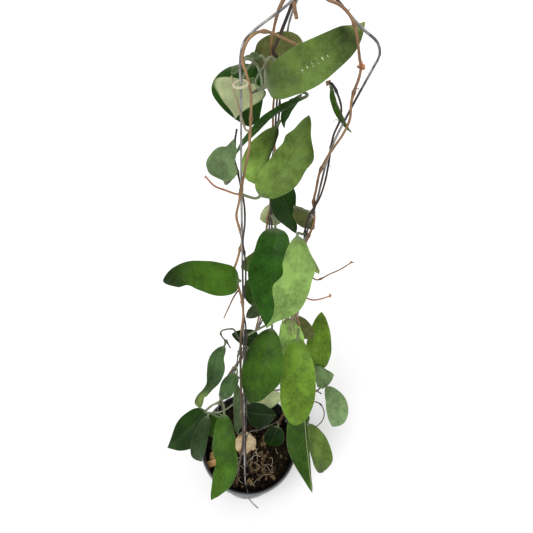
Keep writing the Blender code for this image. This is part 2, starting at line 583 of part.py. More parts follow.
def build_mix():
    """The potting mix fills the pot to a flat top that slopes down at the wall."""
    brown = material("potting_mix", (0.045, 0.028, 0.018), 0.9)
    clear = POT_WALL + 2 * GAP
    low = MIX_BOTTOM + POT_FOOT_ROUND
    shoulder = MIX_TOP - MIX_EDGE_DROP
    profile = [
        (0, MIX_BOTTOM), (wall_outside(low) - clear - POT_FOOT_ROUND, MIX_BOTTOM),
        (wall_outside(low) - clear, low), (wall_outside(shoulder) - clear, shoulder),
        (wall_outside(shoulder) - clear - MIX_EDGE_DROP, MIX_TOP), (0, MIX_TOP),
    ]
    turned("potting_mix", profile, MIX_SEGMENTS, brown)


def build_sleeve(steel):
    """The crimped sleeve that holds the three wires and the hook together."""
    bm = bmesh.new()
    for radius in (SLEEVE_RADIUS, SLEEVE_BORE):
        bmesh.ops.create_circle(bm, segments=SLEEVE_SIDES, radius=radius)
    bmesh.ops.bridge_loops(bm, edges=bm.edges)
    raised = bmesh.ops.extrude_face_region(bm, geom=bm.faces[:])
    top = [v for v in raised["geom"] if isinstance(v, bmesh.types.BMVert)]
    bmesh.ops.translate(bm, vec=UP * SLEEVE_LENGTH, verts=top)
    bmesh.ops.translate(bm, vec=APEX, verts=bm.verts)
    finished("hanger_sleeve", bm, steel)


def build_hook(steel):
    shank = bundle(HOOK_PLACE)
    centre = shank + UP * (SLEEVE_LENGTH + HOOK_RISE) + Vector((HOOK_RADIUS, 0, 0))
    bow = []
    for i in range(HOOK_ROWS + 1):
        turn = math.radians(180 - HOOK_SWEEP * i / HOOK_ROWS)
        bow.append(centre + Vector((math.cos(turn), 0, math.sin(turn))) * HOOK_RADIUS)
    path = [shank + UP * WIRE_END, shank + UP * SLEEVE_LENGTH, *bow]
    tube("hanger_hook", path, WIRE_RADIUS, steel, sides=WIRE_SIDES)


def build_hanger():
    steel = material("wire_steel", (0.45, 0.46, 0.47), 0.35, 1.0)
    for side, path in WIRE_PATHS.items():
        tube(f"hanger_wire_{side}", path, WIRE_RADIUS, steel, sides=WIRE_SIDES)
    build_sleeve(steel)
    build_hook(steel)


def build_stems():
    for name, radius in STEM_RADII.items():
        shade = next((c for word, c in STEM_COLOURS.items() if word in name), STEM_COLOURS["brown"])
        tube(name, STEM_PATHS[name], radius, material(name, shade, 0.7), taper=STEM_TAPER)


def build_leaves():
    green = material("leaf_green", (0.09, 0.22, 0.04), 0.45)
    for name, values in LEAVES.items():
        leaf(name, {**LEAF_DEFAULTS, **values}, green)
    dry = material("dry_leaf", (0.62, 0.52, 0.33), 0.8)
    rings, _, _ = blade_rings({**LEAF_DEFAULTS, **DEAD_LEAF})
    loft("dead_leaf", rings, dry)


STEM_PATHS = {name: smooth_path(points, STEM_STEP) for name, (_, points) in STEMS.items()}
STEM_RADII = {name: radius for name, (radius, _) in STEMS.items()}
for shoot, (parent, thickness, passed) in SIDE_SHOOTS.items():
    root, outwards = growing_point(parent, passed[0])
    STEM_PATHS[shoot] = smooth_path([root, root + outwards * SHOOT_START, *passed], STEM_STEP)
    STEM_RADII[shoot] = thickness

for old in list(bpy.data.objects):
    bpy.data.objects.remove(old, do_unlink=True)
build_pot()
build_mix()
build_hanger()
build_stems()
build_leaves()
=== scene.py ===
"""The looks of a potted hoya: its leaves, vines, hanger, pot and bark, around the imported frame."""
import math
import random

import bmesh
import bpy
from mathutils import Matrix, Quaternion, Vector, noise


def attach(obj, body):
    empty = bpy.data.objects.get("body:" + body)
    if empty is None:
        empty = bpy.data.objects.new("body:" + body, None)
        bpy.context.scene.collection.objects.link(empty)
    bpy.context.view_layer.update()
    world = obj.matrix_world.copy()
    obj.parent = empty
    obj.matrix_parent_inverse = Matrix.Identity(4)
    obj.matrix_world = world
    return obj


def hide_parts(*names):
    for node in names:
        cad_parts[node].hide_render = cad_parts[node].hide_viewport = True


bl_info = {
    "name": "Potted hoya",
    "version": (1, 0, 0),
    "blender": (4, 5, 0),
    "location": "3D View > Sidebar > Hoya",
    "description": "Builds the leaves, vines, hanger, pot and bark mix of a potted hoya",
    "category": "Add Mesh",
}

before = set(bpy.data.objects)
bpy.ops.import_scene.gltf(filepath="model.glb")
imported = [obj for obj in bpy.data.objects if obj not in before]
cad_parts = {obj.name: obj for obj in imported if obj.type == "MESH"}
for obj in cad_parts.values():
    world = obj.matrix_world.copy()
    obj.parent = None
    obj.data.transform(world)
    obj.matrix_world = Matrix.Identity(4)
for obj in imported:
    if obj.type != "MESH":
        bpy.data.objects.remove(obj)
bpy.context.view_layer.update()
BODY = "root"
UP = Vector((0, 0, 1))


# ================================================================ measures, as the frame has them
def mm(x, y, z):
    """A place in millimetres."""
    return Vector((x, y, z)) * 0.001


POT_HEIGHT = 0.112
POT_BASE_RADIUS = 0.053
POT_RIM_RADIUS = 0.0718
POT_FOOT_ROUND = 0.002
LIP_RADIUS = 0.0752
POT_WALL = 0.0012
LIP_DROP = 0.0085
DRAIN_HOLES = 8
DRAIN_RING_RADIUS = 0.036
DRAIN_HOLE_RADIUS = 0.004
EYE_HEIGHT = 0.0990
EYE_RADIUS = 0.0024
EYE_PASS = 0.003
EYE_AZIMUTHS = {"front": -87.0, "right": 32.0, "back": 150.0}
MIX_TOP = 0.094
GAP = 0.0003
BUNDLE_OFFSET = 0.00118
SLEEVE_RADIUS = 0.0042
SLEEVE_BORE = 0.00305
SLEEVE_LENGTH = 0.015
APEX = mm(28, 105, 674)
HOOK_RADIUS = 0.0125
HOOK_RISE = 0.01993
HOOK_SWEEP = 235.0
HOOK_ROWS = 48
WIRE_RADIUS = 0.001
WIRE_STEP = 0.004
STEM_STEP = 0.013
STEM_TAPER = 0.75
SOCKET = 0.002
MIX_SEED, BUD_SEED, ROOT_SEED = 41, 5, 12
CHIP_REACH = 0.0655
CHIP_CREASE = 28.0
CUTTER_DEPTH = 0.009
STALK_ROOT = 0.0012
COLUMN_SPREAD = 1.2
VEIN_SLANT = 0.85
CAMERA_PLACE = mm(8, -214, 668)


# ================================================================ sizes and colours
def length(name, description, default):
    return bpy.props.FloatProperty(name=name, description=description, default=default,
                                   unit="LENGTH", precision=4)


def colour(name, description, default):
    return bpy.props.FloatVectorProperty(name=name, description=description, default=default,
                                         subtype="COLOR", size=3, min=0.0, max=1.0)


def number(name, description, default):
    return bpy.props.FloatProperty(name=name, description=description, default=default)


def count(name, description, default):
    return bpy.props.IntProperty(name=name, description=description, default=default, min=1)


class HoyaPot(bpy.types.PropertyGroup):
    segments: count("Segments", "Steps round the pot", 128)
    wall: length("Wall", "Thickness of the pot's wall", POT_WALL)
    lip_drop: length("Lip drop", "Height of the lip's band", LIP_DROP)
    lip_width: length("Lip width", "Width of the lip's top", 0.0031)
    plastic: colour("Plastic", "Colour of the pot", (0.0045, 0.0045, 0.005))
    dust: colour("Dust", "Colour of the dust and lime on the plastic", (0.110, 0.115, 0.120))


class HoyaMix(bpy.types.PropertyGroup):
    chips: count("Bark chips", "Chips that lie on the mix", 820)
    pale_chips: count("Pale chips", "Fresh tan chips among them", 96)
    roots: count("Root threads", "Fine pale roots that show", 20)
    chip_length: length("Chip length", "Usual length of a bark chip", 0.0062)
    bark: colour("Bark", "Colour of the old bark", (0.011, 0.0068, 0.0042))
    tan: colour("Tan bark", "Colour of the fresh bark", (0.170, 0.115, 0.060))
    orange: colour("Orange bark", "Colour of the reddish chip", (0.46, 0.27, 0.11))


class HoyaHanger(bpy.types.PropertyGroup):
    wire_radius: length("Wire radius", "Radius of the hanger's wires", WIRE_RADIUS)
    sides: count("Sides", "Faces round a wire", 12)
    zinc: colour("Zinc", "Colour of the bare wire", (0.40, 0.39, 0.38))
    tarnish: colour("Tarnish", "Colour of the dulled wire", (0.060, 0.056, 0.055))


class HoyaVines(bpy.types.PropertyGroup):
    sides: count("Sides", "Faces round a vine", 10)
    step: length("Step", "Distance between a vine's rings", 0.0022)
    knot: number("Knot", "How much a node swells, per radius", 0.75)
    knot_spacing: length("Knot spacing", "Usual distance between nodes", 0.055)
    tan: colour("Tan bark", "Colour of the young dry bark", (0.30, 0.175, 0.075))
    brown: colour("Brown bark", "Colour of the vine's bark", (0.190, 0.092, 0.040))
    dark: colour("Dark bark", "Colour of the oldest bark", (0.022, 0.014, 0.010))
    young: colour("Young stem", "Colour of the wiry young stems", (0.045, 0.034, 0.026))
    green: colour("Green stem", "Colour of the leaf stalks", (0.150, 0.175, 0.100))
    orange: colour("Peduncle", "Colour of the dry flower stalks", (0.40, 0.15, 0.06))


class HoyaLeaves(bpy.types.PropertyGroup):
    rows: count("Rows", "Rings along a blade", 46)
    columns: count("Columns", "Points on each side of a midrib", 9)
    thickness: length("Thickness", "Thickness of a blade", 0.0010)
    stalk_radius: length("Stalk radius", "Radius of a leaf's stalk", 0.0012)
    vein_spacing: length("Vein spacing", "Distance between side veins", 0.0085)
    groove: length("Midrib groove", "Depth of the groove along the midrib", 0.0004)
    fresh: colour("Fresh", "Upper side of a deep green leaf", (0.040, 0.105, 0.006))
    soft: colour("Soft", "Upper side of a mid-green leaf", (0.100, 0.166, 0.030))
    bright: colour("Bright", "Upper side of a light green leaf", (0.150, 0.245, 0.060))
    lime: colour("Lime", "Upper side of a yellow-green leaf", (0.112, 0.210, 0.018))
    dark: colour("Dark", "Upper side of an old leaf", (0.012, 0.045, 0.003))
    grey: colour("Grey", "Upper side of a greyish leaf", (0.080, 0.125, 0.050))
    slate: colour("Slate", "Upper side of a dark greyish leaf", (0.050, 0.100, 0.032))
    olive: colour("Olive", "A thin leaf against the light", (0.120, 0.135, 0.040))
    glow: colour("Glow", "Where a thin blade lets the light through", (0.26, 0.34, 0.10))
    pale: colour("Pale", "Underside of a leaf", (0.46, 0.52, 0.27))
    silver: colour("Silver", "Flecks and the midrib's scratches", (0.62, 0.68, 0.50))
    dry: colour("Dry", "The dead leaf", (0.70, 0.56, 0.34))


class HoyaStage(bpy.types.PropertyGroup):
    floor_radius: length("Floor radius", "Radius of the floor", 30.0)
    floor: colour("Floor", "Colour of the floor", (0.93, 0.93, 0.93))
    sky: number("Sky", "Strength of the light from all round", 0.70)
    key: number("Key light", "Strength of the main light, from the front left", 1.9)
    fill: number("Fill light", "Strength of the light from the right", 0.3)
    lens: number("Lens", "Focal length in millimetres", 23.0)
    tilt: bpy.props.FloatProperty(name="Tilt", description="How far the camera looks down",
                                  default=math.radians(42), subtype="ANGLE")
    roll: bpy.props.FloatProperty(name="Roll", description="How far the camera is turned on its axis",
                                  default=math.radians(4), subtype="ANGLE")


# ================================================================ the layout, as the frame has it
def smooth_path(points, step):
    """A centripetal Catmull-Rom curve through the points, read about every step metres."""
    ends = [2 * points[0] - points[1], *points, 2 * points[-1] - points[-2]]
    path = [points[0].copy()]
    for a, b, c, d in zip(ends, ends[1:], ends[2:], ends[3:]):
        t1 = math.sqrt((b - a).length)
        t2 = t1 + math.sqrt((c - b).length)
        t3 = t2 + math.sqrt((d - c).length)
        pieces = max(1, round((c - b).length / step))
        for i in range(1, pieces + 1):
            t = t1 + (t2 - t1) * i / pieces
            ab = a.lerp(b, t / t1)
            bc = b.lerp(c, (t - t1) / (t2 - t1))
            cd = c.lerp(d, (t - t2) / (t3 - t2))
            first, second = ab.lerp(bc, t / t2), bc.lerp(cd, (t - t1) / (t3 - t1))
            path.append(first.lerp(second, (t - t1) / (t2 - t1)))
    return path


def tangents(path):
    ahead = [*path[1:], 2 * path[-1] - path[-2]]
    behind = [2 * path[0] - path[1], *path[:-1]]
    return [(b - a).normalized() for a, b in zip(behind, ahead)]


def at_height(path, height):
    """The point of a rising path at this height, and the path's direction there."""
    for a, b in zip(path, path[1:]):
        if a.z <= height <= b.z:
            return a.lerp(b, (height - a.z) / (b.z - a.z)), (b - a).normalized()
    raise ValueError(f"the path has no height {height}")


def beside(wire, height, angle, distance):
    """A point beside a wire: angle 0 is its right, 90 its front, 180 its left, 270 its back."""
    centre, along = at_height(WIRE_PATHS[wire], height)
    right = (Vector((1, 0, 0)) - along * along.x).normalized()
    front = right.cross(along) * -1
    if front.y > 0:
        front = -front
    turn = math.radians(angle)
    return centre + (right * math.cos(turn) + front * math.sin(turn)) * distance


def along_wire(wire, *rows):
    """Points beside a wire, each from its height, its angle and its distance."""
    return [beside(wire, *row) for row in rows]


def twine(wire, start, end, angle, pitch, distance):
    """Points of a vine that winds round a wire from one height to another."""
    steps = max(2, round(abs(end - start) / pitch * 8))
    points = []
    for i in range(steps + 1):
        height = start + (end - start) * i / steps
        points.append(beside(wire, height, angle + 360.0 * (height - start) / pitch, distance))
    return points


def heading(turn):
    """The level direction at a turn from +X."""
    return Vector((math.cos(turn), math.sin(turn), 0))


def foot(x, y):
    """Where a stem goes into the mix, from its place in millimetres."""
    return Vector((x * 0.001, y * 0.001, MIX_TOP + GAP))


def wall_outside(height):
    low, high = POT_FOOT_ROUND, POT_HEIGHT - LIP_DROP
    return POT_BASE_RADIUS + (POT_RIM_RADIUS - POT_BASE_RADIUS) * (height - low) / (high - low)


def eye(side, inwards=0.0):
    """The middle of a wire's hole in the pot's wall, or a point this far inwards from it."""
    radius = wall_outside(EYE_HEIGHT) - POT_WALL / 2 - inwards
    return heading(math.radians(EYE_AZIMUTHS[side])) * radius + UP * EYE_HEIGHT


def through_eye(side):
    """The points where a wire passes square through the pot's wall, from outside to inside."""
    return [eye(side, inwards) for inwards in (-EYE_PASS, 0.0, EYE_PASS)]


def bundle(index):
    """The middle of one of the four wires that the sleeve holds."""
    return APEX + heading(math.radians(45 + 90 * index)) * BUNDLE_OFFSET * math.sqrt(2)


WIRE_ROUTES = {
    "front": [mm(20, -85, 92), mm(10, -79, 96), *through_eye("front"), mm(1, -64.5, 108),
              mm(-1, -61, 130), mm(-6, -33, 235), mm(-12, 10, 386), mm(-18, 46, 512), mm(-21, 69, 592),
              mm(-22, 75, 613), mm(-20, 80, 622), mm(-13, 85, 629), mm(13, 97, 647), mm(23, 103, 660)],
    "right": [mm(90, 56, 95), mm(74, 46, 97), *through_eye("right"), mm(55.5, 35, 108),
              mm(58, 37, 150), mm(58, 41, 205), mm(56, 44, 270), mm(50, 47, 340), mm(46, 49, 382),
              mm(44, 53, 430), mm(45, 57, 472), mm(50, 63, 502), mm(55, 70, 548), mm(65, 76, 578),
              mm(79, 85, 611), mm(82, 87, 619), mm(79, 89, 626), mm(66, 92, 634), mm(48, 98, 647),
              mm(34, 104, 660)],
    "back": [mm(-82, 48, 93), mm(-70, 41, 96), *through_eye("back"), mm(-55.5, 33, 108),
             mm(-51, 38, 150), mm(-36, 50, 201), mm(-20, 58, 240), mm(-5, 66, 281), mm(6, 74, 320),
             mm(10, 88, 389), mm(8, 100, 446), mm(8, 115, 507), mm(7, 135, 572), mm(9, 147, 602),
             mm(11, 147, 613), mm(13, 140, 630), mm(19, 126, 649), mm(25, 112, 661)],
}
BUNDLE_PLACES = {"front": 2, "right": 3, "back": 1}
HOOK_PLACE = 0
WIRE_PATHS = {}
for side, route in WIRE_ROUTES.items():
    end = bundle(BUNDLE_PLACES[side])
    WIRE_PATHS[side] = smooth_path([*route, end, end + UP * (SLEEVE_LENGTH - 0.001)], WIRE_STEP)

# ---------------------------------------------------------------- layout of the vines and stems
# Each is its looks, its radius and the points that it passes, from its foot upwards or outwards.
STEMS = {
    "vine_front_tan": ("tan", 0.0014, [
        foot(-12, -60), mm(-12, -58, 120), mm(-11, -52, 150), beside("front", 0.185, 140, 0.0055),
        *along_wire("front",
            (0.225, 100, 0.0036), (0.255, 120, 0.0034), (0.290, 140, 0.0036), (0.320, 165, 0.0036),
            (0.345, 190, 0.0034), (0.365, 160, 0.0031), (0.380, 120, 0.0030), (0.396, 85, 0.0030),
            (0.410, 95, 0.0031), (0.424, 150, 0.0038), (0.436, 178, 0.0066), (0.445, 180, 0.0080),
            (0.453, 185, 0.0055), (0.463, 220, 0.0034), (0.473, 265, 0.0031), (0.484, 220, 0.0032),
            (0.497, 165, 0.0048), (0.508, 130, 0.0034), (0.516, 100, 0.0031), (0.526, 65, 0.0034),
            (0.538, 35, 0.0046), (0.551, 12, 0.0066), (0.565, 4, 0.0074), (0.578, 0, 0.0080),
            (0.593, 8, 0.0075), (0.603, 25, 0.0052), (0.611, 60, 0.0038)),
        mm(-18, 74, 622), mm(-12, 79, 628), mm(-4, 84, 629), mm(8, 90, 625), mm(20, 96, 620)]),
    "vine_front_dark": ("dark", 0.0011, [
        foot(4, -44), mm(3, -42, 120), *along_wire("front",
            (0.160, 300, 0.0036), (0.200, 290, 0.0032), (0.240, 310, 0.0030), (0.275, 335, 0.0030),
            (0.310, 20, 0.0030), (0.335, 40, 0.0031), (0.358, 20, 0.0030), (0.380, 320, 0.0029),
            (0.402, 255, 0.0029), (0.422, 310, 0.0029), (0.440, 350, 0.0030), (0.458, 35, 0.0032),
            (0.474, 70, 0.0031), (0.490, 20, 0.0030), (0.505, 320, 0.0030), (0.520, 260, 0.0030),
            (0.533, 215, 0.0040), (0.545, 190, 0.0060), (0.556, 180, 0.0052), (0.566, 170, 0.0034))]),
    "vine_right_brown": ("brown", 0.0014, [
        foot(46, 30), mm(50, 33, 125), *twine("right", 0.155, 0.455, 90, 0.100, 0.0031),
        *along_wire("right",
            (0.470, 60, 0.0036), (0.483, 15, 0.0040), (0.492, 300, 0.0031), (0.502, 220, 0.0031),
            (0.515, 180, 0.0032), (0.530, 170, 0.0036), (0.543, 120, 0.0031), (0.553, 70, 0.0031),
            (0.565, 20, 0.0040), (0.576, 30, 0.0034), (0.586, 130, 0.0042)),
        mm(66.5, 76, 597), mm(68, 77, 604), mm(68, 78, 612), mm(66, 79, 617), mm(63.5, 82, 625),
        mm(59, 85, 636), mm(53, 89, 643), mm(46, 94, 647), mm(38, 98, 649), mm(31, 99, 654),
        mm(23, 99, 668)]),
    "vine_right_dark": ("dark", 0.0012, [
        foot(48, 42), mm(53, 44, 125), *twine("right", 0.155, 0.455, 270, 0.100, 0.0030),
        *along_wire("right",
            (0.470, 240, 0.0030), (0.483, 200, 0.0031), (0.495, 130, 0.0031), (0.507, 70, 0.0030),
            (0.522, 20, 0.0031), (0.537, 330, 0.0031), (0.550, 280, 0.0031), (0.562, 210, 0.0030),
            (0.572, 190, 0.0035)),
        mm(59.5, 80, 582), mm(55, 84, 591), mm(50, 87, 597), mm(46, 89, 598)]),
    "vine_back_brown": ("brown", 0.0014, [
        foot(-40, 30), mm(-44, 34, 122), *twine("back", 0.160, 0.560, 60, 0.120, 0.0031),
        *along_wire("back",
            (0.575, 180, 0.0032), (0.588, 180, 0.0045), (0.600, 175, 0.0075)),
        mm(0.5, 146, 609), mm(0, 142, 622), mm(2, 135, 635), mm(6, 127, 645), mm(12, 118, 655),
        mm(18, 110, 668)]),
    "vine_back_dark": ("dark", 0.0012, [
        foot(-34, 40), mm(-40, 42, 122), *twine("back", 0.160, 0.580, 240, 0.120, 0.0030),
        beside("back", 0.592, 320, 0.0028), beside("back", 0.604, 300, 0.0026)]),
    "runner_top": ("young", 0.0010, [
        mm(3.5, 129, 582), mm(0, 120, 586), mm(-3, 108, 588), mm(-6, 98, 588), mm(-10, 89, 588),
        mm(-14.5, 81, 587)]),
    "stem_left": ("young", 0.0011, [
        foot(-30, -4), mm(-34, -4, 150), mm(-38, 0, 200), mm(-43, 10, 226), mm(-41, 18, 241),
        mm(-31, 23, 259), mm(-22, 23, 282), mm(-19, 19, 312), mm(-17.5, 13, 328), mm(-15.5, 8, 336)]),
    "stem_side_right": ("young", 0.0012, [
        mm(-28, 50, 212), mm(-8, 38, 214), mm(17, 28, 213), mm(40, 30, 214), mm(61, 30, 208),
        mm(80, 36, 203), mm(94, 41, 198), mm(103, 41, 191)]),
}

# Side shoots grow from a stem: the stem, their own radius and the points that they pass.
SIDE_SHOOTS = {
    "stem_right_loop": ("vine_right_dark", "young", 0.0010, [
        mm(74, 35, 197), mm(84, 30, 192), mm(102, 30, 181), mm(111, 25, 161),
        mm(109, 20, 144), mm(98, 12, 137)]),
    "runner_pot": ("vine_front_tan", "young", 0.0010, [
        mm(0, -14, 171), mm(12, -6, 160), mm(26, 6, 147), mm(41, 16, 142), mm(48, 24, 140)]),
    "side_shoot_pale": ("vine_front_tan", "pale", 0.0009, along_wire("front",
        (0.570, 60, 0.0045), (0.577, 95, 0.0031), (0.585, 135, 0.0034), (0.594, 168, 0.0056),
        (0.602, 178, 0.0066))),
    "stem_left_loop": ("vine_front_tan", "young", 0.0010, [
        mm(-22, 11, 371), mm(-30, 14, 367), mm(-38, 18, 356), mm(-37, 20, 344), mm(-32, 21, 333),
        mm(-28, 19.5, 324)]),
    "peduncle_left": ("vine_front_tan", "orange", 0.0009, [
        mm(-31, 37, 524), mm(-38, 30, 531), mm(-43, 23, 542)]),
    "peduncle_low": ("vine_front_tan", "brown", 0.0008, [
        mm(-22, 8, 424), mm(-26, 3, 415), mm(-30, -2, 406)]),
    "peduncle_right": ("vine_right_brown", "brown", 0.0008, [
        mm(60, 43, 423), mm(72, 38, 437), mm(80, 33, 449), mm(87, 28, 463)]),
    "peduncle_orange": ("vine_right_dark", "orange", 0.0009, [
        mm(60, 41, 394), mm(69, 37, 401), mm(77, 33, 411)]),
}

# Stems too slight for the frame: how each looks, its radius and the points that it passes.
EXTRA_STEMS = {
    "stem_cut_stub": ("brown", 0.0015, [mm(14.5, 121, 650), mm(15.5, 117, 642), mm(18, 113, 635)]),
    "vine_top_dark": ("dark", 0.0014, [
        mm(8, 143, 602), mm(3, 132, 606), mm(1, 126, 610), mm(5, 125, 620), mm(11, 122, 636),
        mm(16, 116, 650), mm(22, 108, 664)]),
    "vine_top_brown": ("brown", 0.0012, [
        mm(4, 142, 600), mm(0, 131, 604), mm(-1, 127, 612), mm(0, 126, 624), mm(4, 123, 639),
        mm(11, 117, 652), mm(20, 109, 666)]),
    "stalk_left_long": ("green", 0.0011, [
        mm(-62, 0, 198), mm(-50, 5, 210), mm(-40, 8, 217), mm(-27, 12, 225)]),
    "stalk_left_low": ("green", 0.0010, [
        mm(-63, -2, 199), mm(-49, -2, 198), mm(-35, 0, 205), mm(-22, 5, 217)]),
    "tendril_ring": ("cream", 0.0009, [
        mm(-21, 68, 597) + heading(math.radians(turn)) * 0.0056
        + UP * 0.0015 * math.sin(math.radians(turn + 40)) for turn in range(0, 361, 30)]),
    "dry_stick": ("tan", 0.0010, [mm(-16, -52, 94), mm(-13, -60, 106), mm(-12, -63, 118)]),
    "young_shoot_left": ("green", 0.0012, [mm(-26, 98, 602), mm(-22, 100, 607), mm(-17, 103, 607),
                                           mm(-12, 106, 603), mm(-8, 104, 596), mm(-6, 99, 588)]),
    "young_shoot_right": ("green", 0.0013, [mm(4, 118, 602), mm(0, 117, 607), mm(-4, 114, 605),
                                            mm(-5, 110, 598), mm(-4, 104, 591), mm(-4, 100, 588)]),
    "young_shoot_middle": ("green", 0.0010, [mm(-13, 108, 606), mm(-8, 109, 609), mm(-5, 110, 603),
                                             mm(-9, 108, 597), mm(-12, 102, 591), mm(-9, 92, 588)]),
}
# Buds and scars: how each looks, its centre, its size and how many buds it has.
BUD_CLUSTERS = {
    "knot_right_high": ("orange", mm(68, 78, 612), 0.0022, 14),
    "knot_right_middle": ("tan", mm(47, 89, 597), 0.0020, 9),
    "knot_left_loop": ("brown", mm(-32, 20.5, 338), 0.0013, 6),
    "knot_left_stem": ("brown", mm(-32, 20, 259), 0.0013, 6),
    "scar_left": ("orange", mm(-43, 23, 542), 0.0010, 5),
    "scar_right": ("brown", mm(87, 28, 463), 0.0013, 6),
    "scar_orange": ("orange", mm(77, 33, 411), 0.0016, 7),
    "scar_low": ("brown", mm(-30, -2, 406), 0.0008, 4),
}
HANGING_ROOTS = [
    [mm(34, 52, 374), mm(37, 45, 360), mm(35, 40, 346), mm(40, 36, 335)],
    [mm(38, 50, 378), mm(43, 44, 364), mm(42, 38, 352), mm(47, 34, 340)],
    [mm(33, 50, 368), mm(31, 42, 354), mm(35, 38, 342), mm(33, 33, 332)],
    [mm(36, 50, 376), mm(41, 42, 358), mm(39, 38, 349), mm(45, 33, 334)],
    [mm(40, 50, 370), mm(46, 44, 358), mm(44, 38, 346), mm(50, 36, 344)],
    [mm(30, 50, 364), mm(36, 44, 352), mm(33, 40, 344), mm(38, 34, 330)],
]

# ---------------------------------------------------------------- layout and looks of the leaves
# Each leaf is the stem that carries it, the ends of its blade, the blade's width, and how it differs
# from these values. A value in brackets is a row of numbers from the base to the tip. Right is the
# right-hand side seen from above with the tip ahead. Turns are in degrees.
#   turn: how far it is turned about its midrib, 0 with the upper side to the front and up.
#   arch: how far its middle stands out, per length. sway: how far the midrib bows to its side.
#   curl: how far its end bends to the upper side, from curl_from of the length. twist: about the midrib.
#   cup: how far its edges bend to the upper side. fold: a crease along the midrib.
#   roll: how far its left margin is turned up, from roll_from of the half-width.
#   round, point: the outline's powers at the base and at the tip. left, right: its halves' widths.
#   wave, waves, ripple: its margin's waves. pucker: how far it rises between its veins.
#   node: the height where the stalk leaves the stem, where it isn't the nearest point.
#   swelling: the place beside which the stem swells, where it isn't the base.
#   tone: its colour. shade: how much lighter or darker, partly its own tone and partly painted light and
#       shade; a row paints light and shade along the blade, such as a shaded fold. The left and right
#       margin values: painted light and shade at its margins, such as a painted shadow where another leaf
#       lies over it.
#   glow: how far it lets light through. rib, scratch: how pale its midrib is, and the marks on it.
#   under: the underside's shade.
LEAF_DEFAULTS = {"node": None, "swelling": None, "turn": 0, "arch": 0.06, "cup": 25, "curl": 0,
                 "curl_from": 0.7, "sway": 0, "round": 0.55, "point": 0.75, "tone": "fresh", "shade": 1.0,
                 "shade_left": 1.0, "shade_right": 1.0, "glow": 0.0, "rib": 0.06, "under": 1.0,
                 "scratch": 0.0, "fold": 6, "roll": 0, "roll_from": 0.5, "left": 1.0, "right": 1.0,
                 "wave": 0.02, "waves": 2.2, "ripple": 0.012, "twist": 0, "pucker": 0.00018}


def leaf(on, base, tip, width, **looks):
    return {**LEAF_DEFAULTS, "on": on, "base": base, "tip": tip, "width": width, **looks}


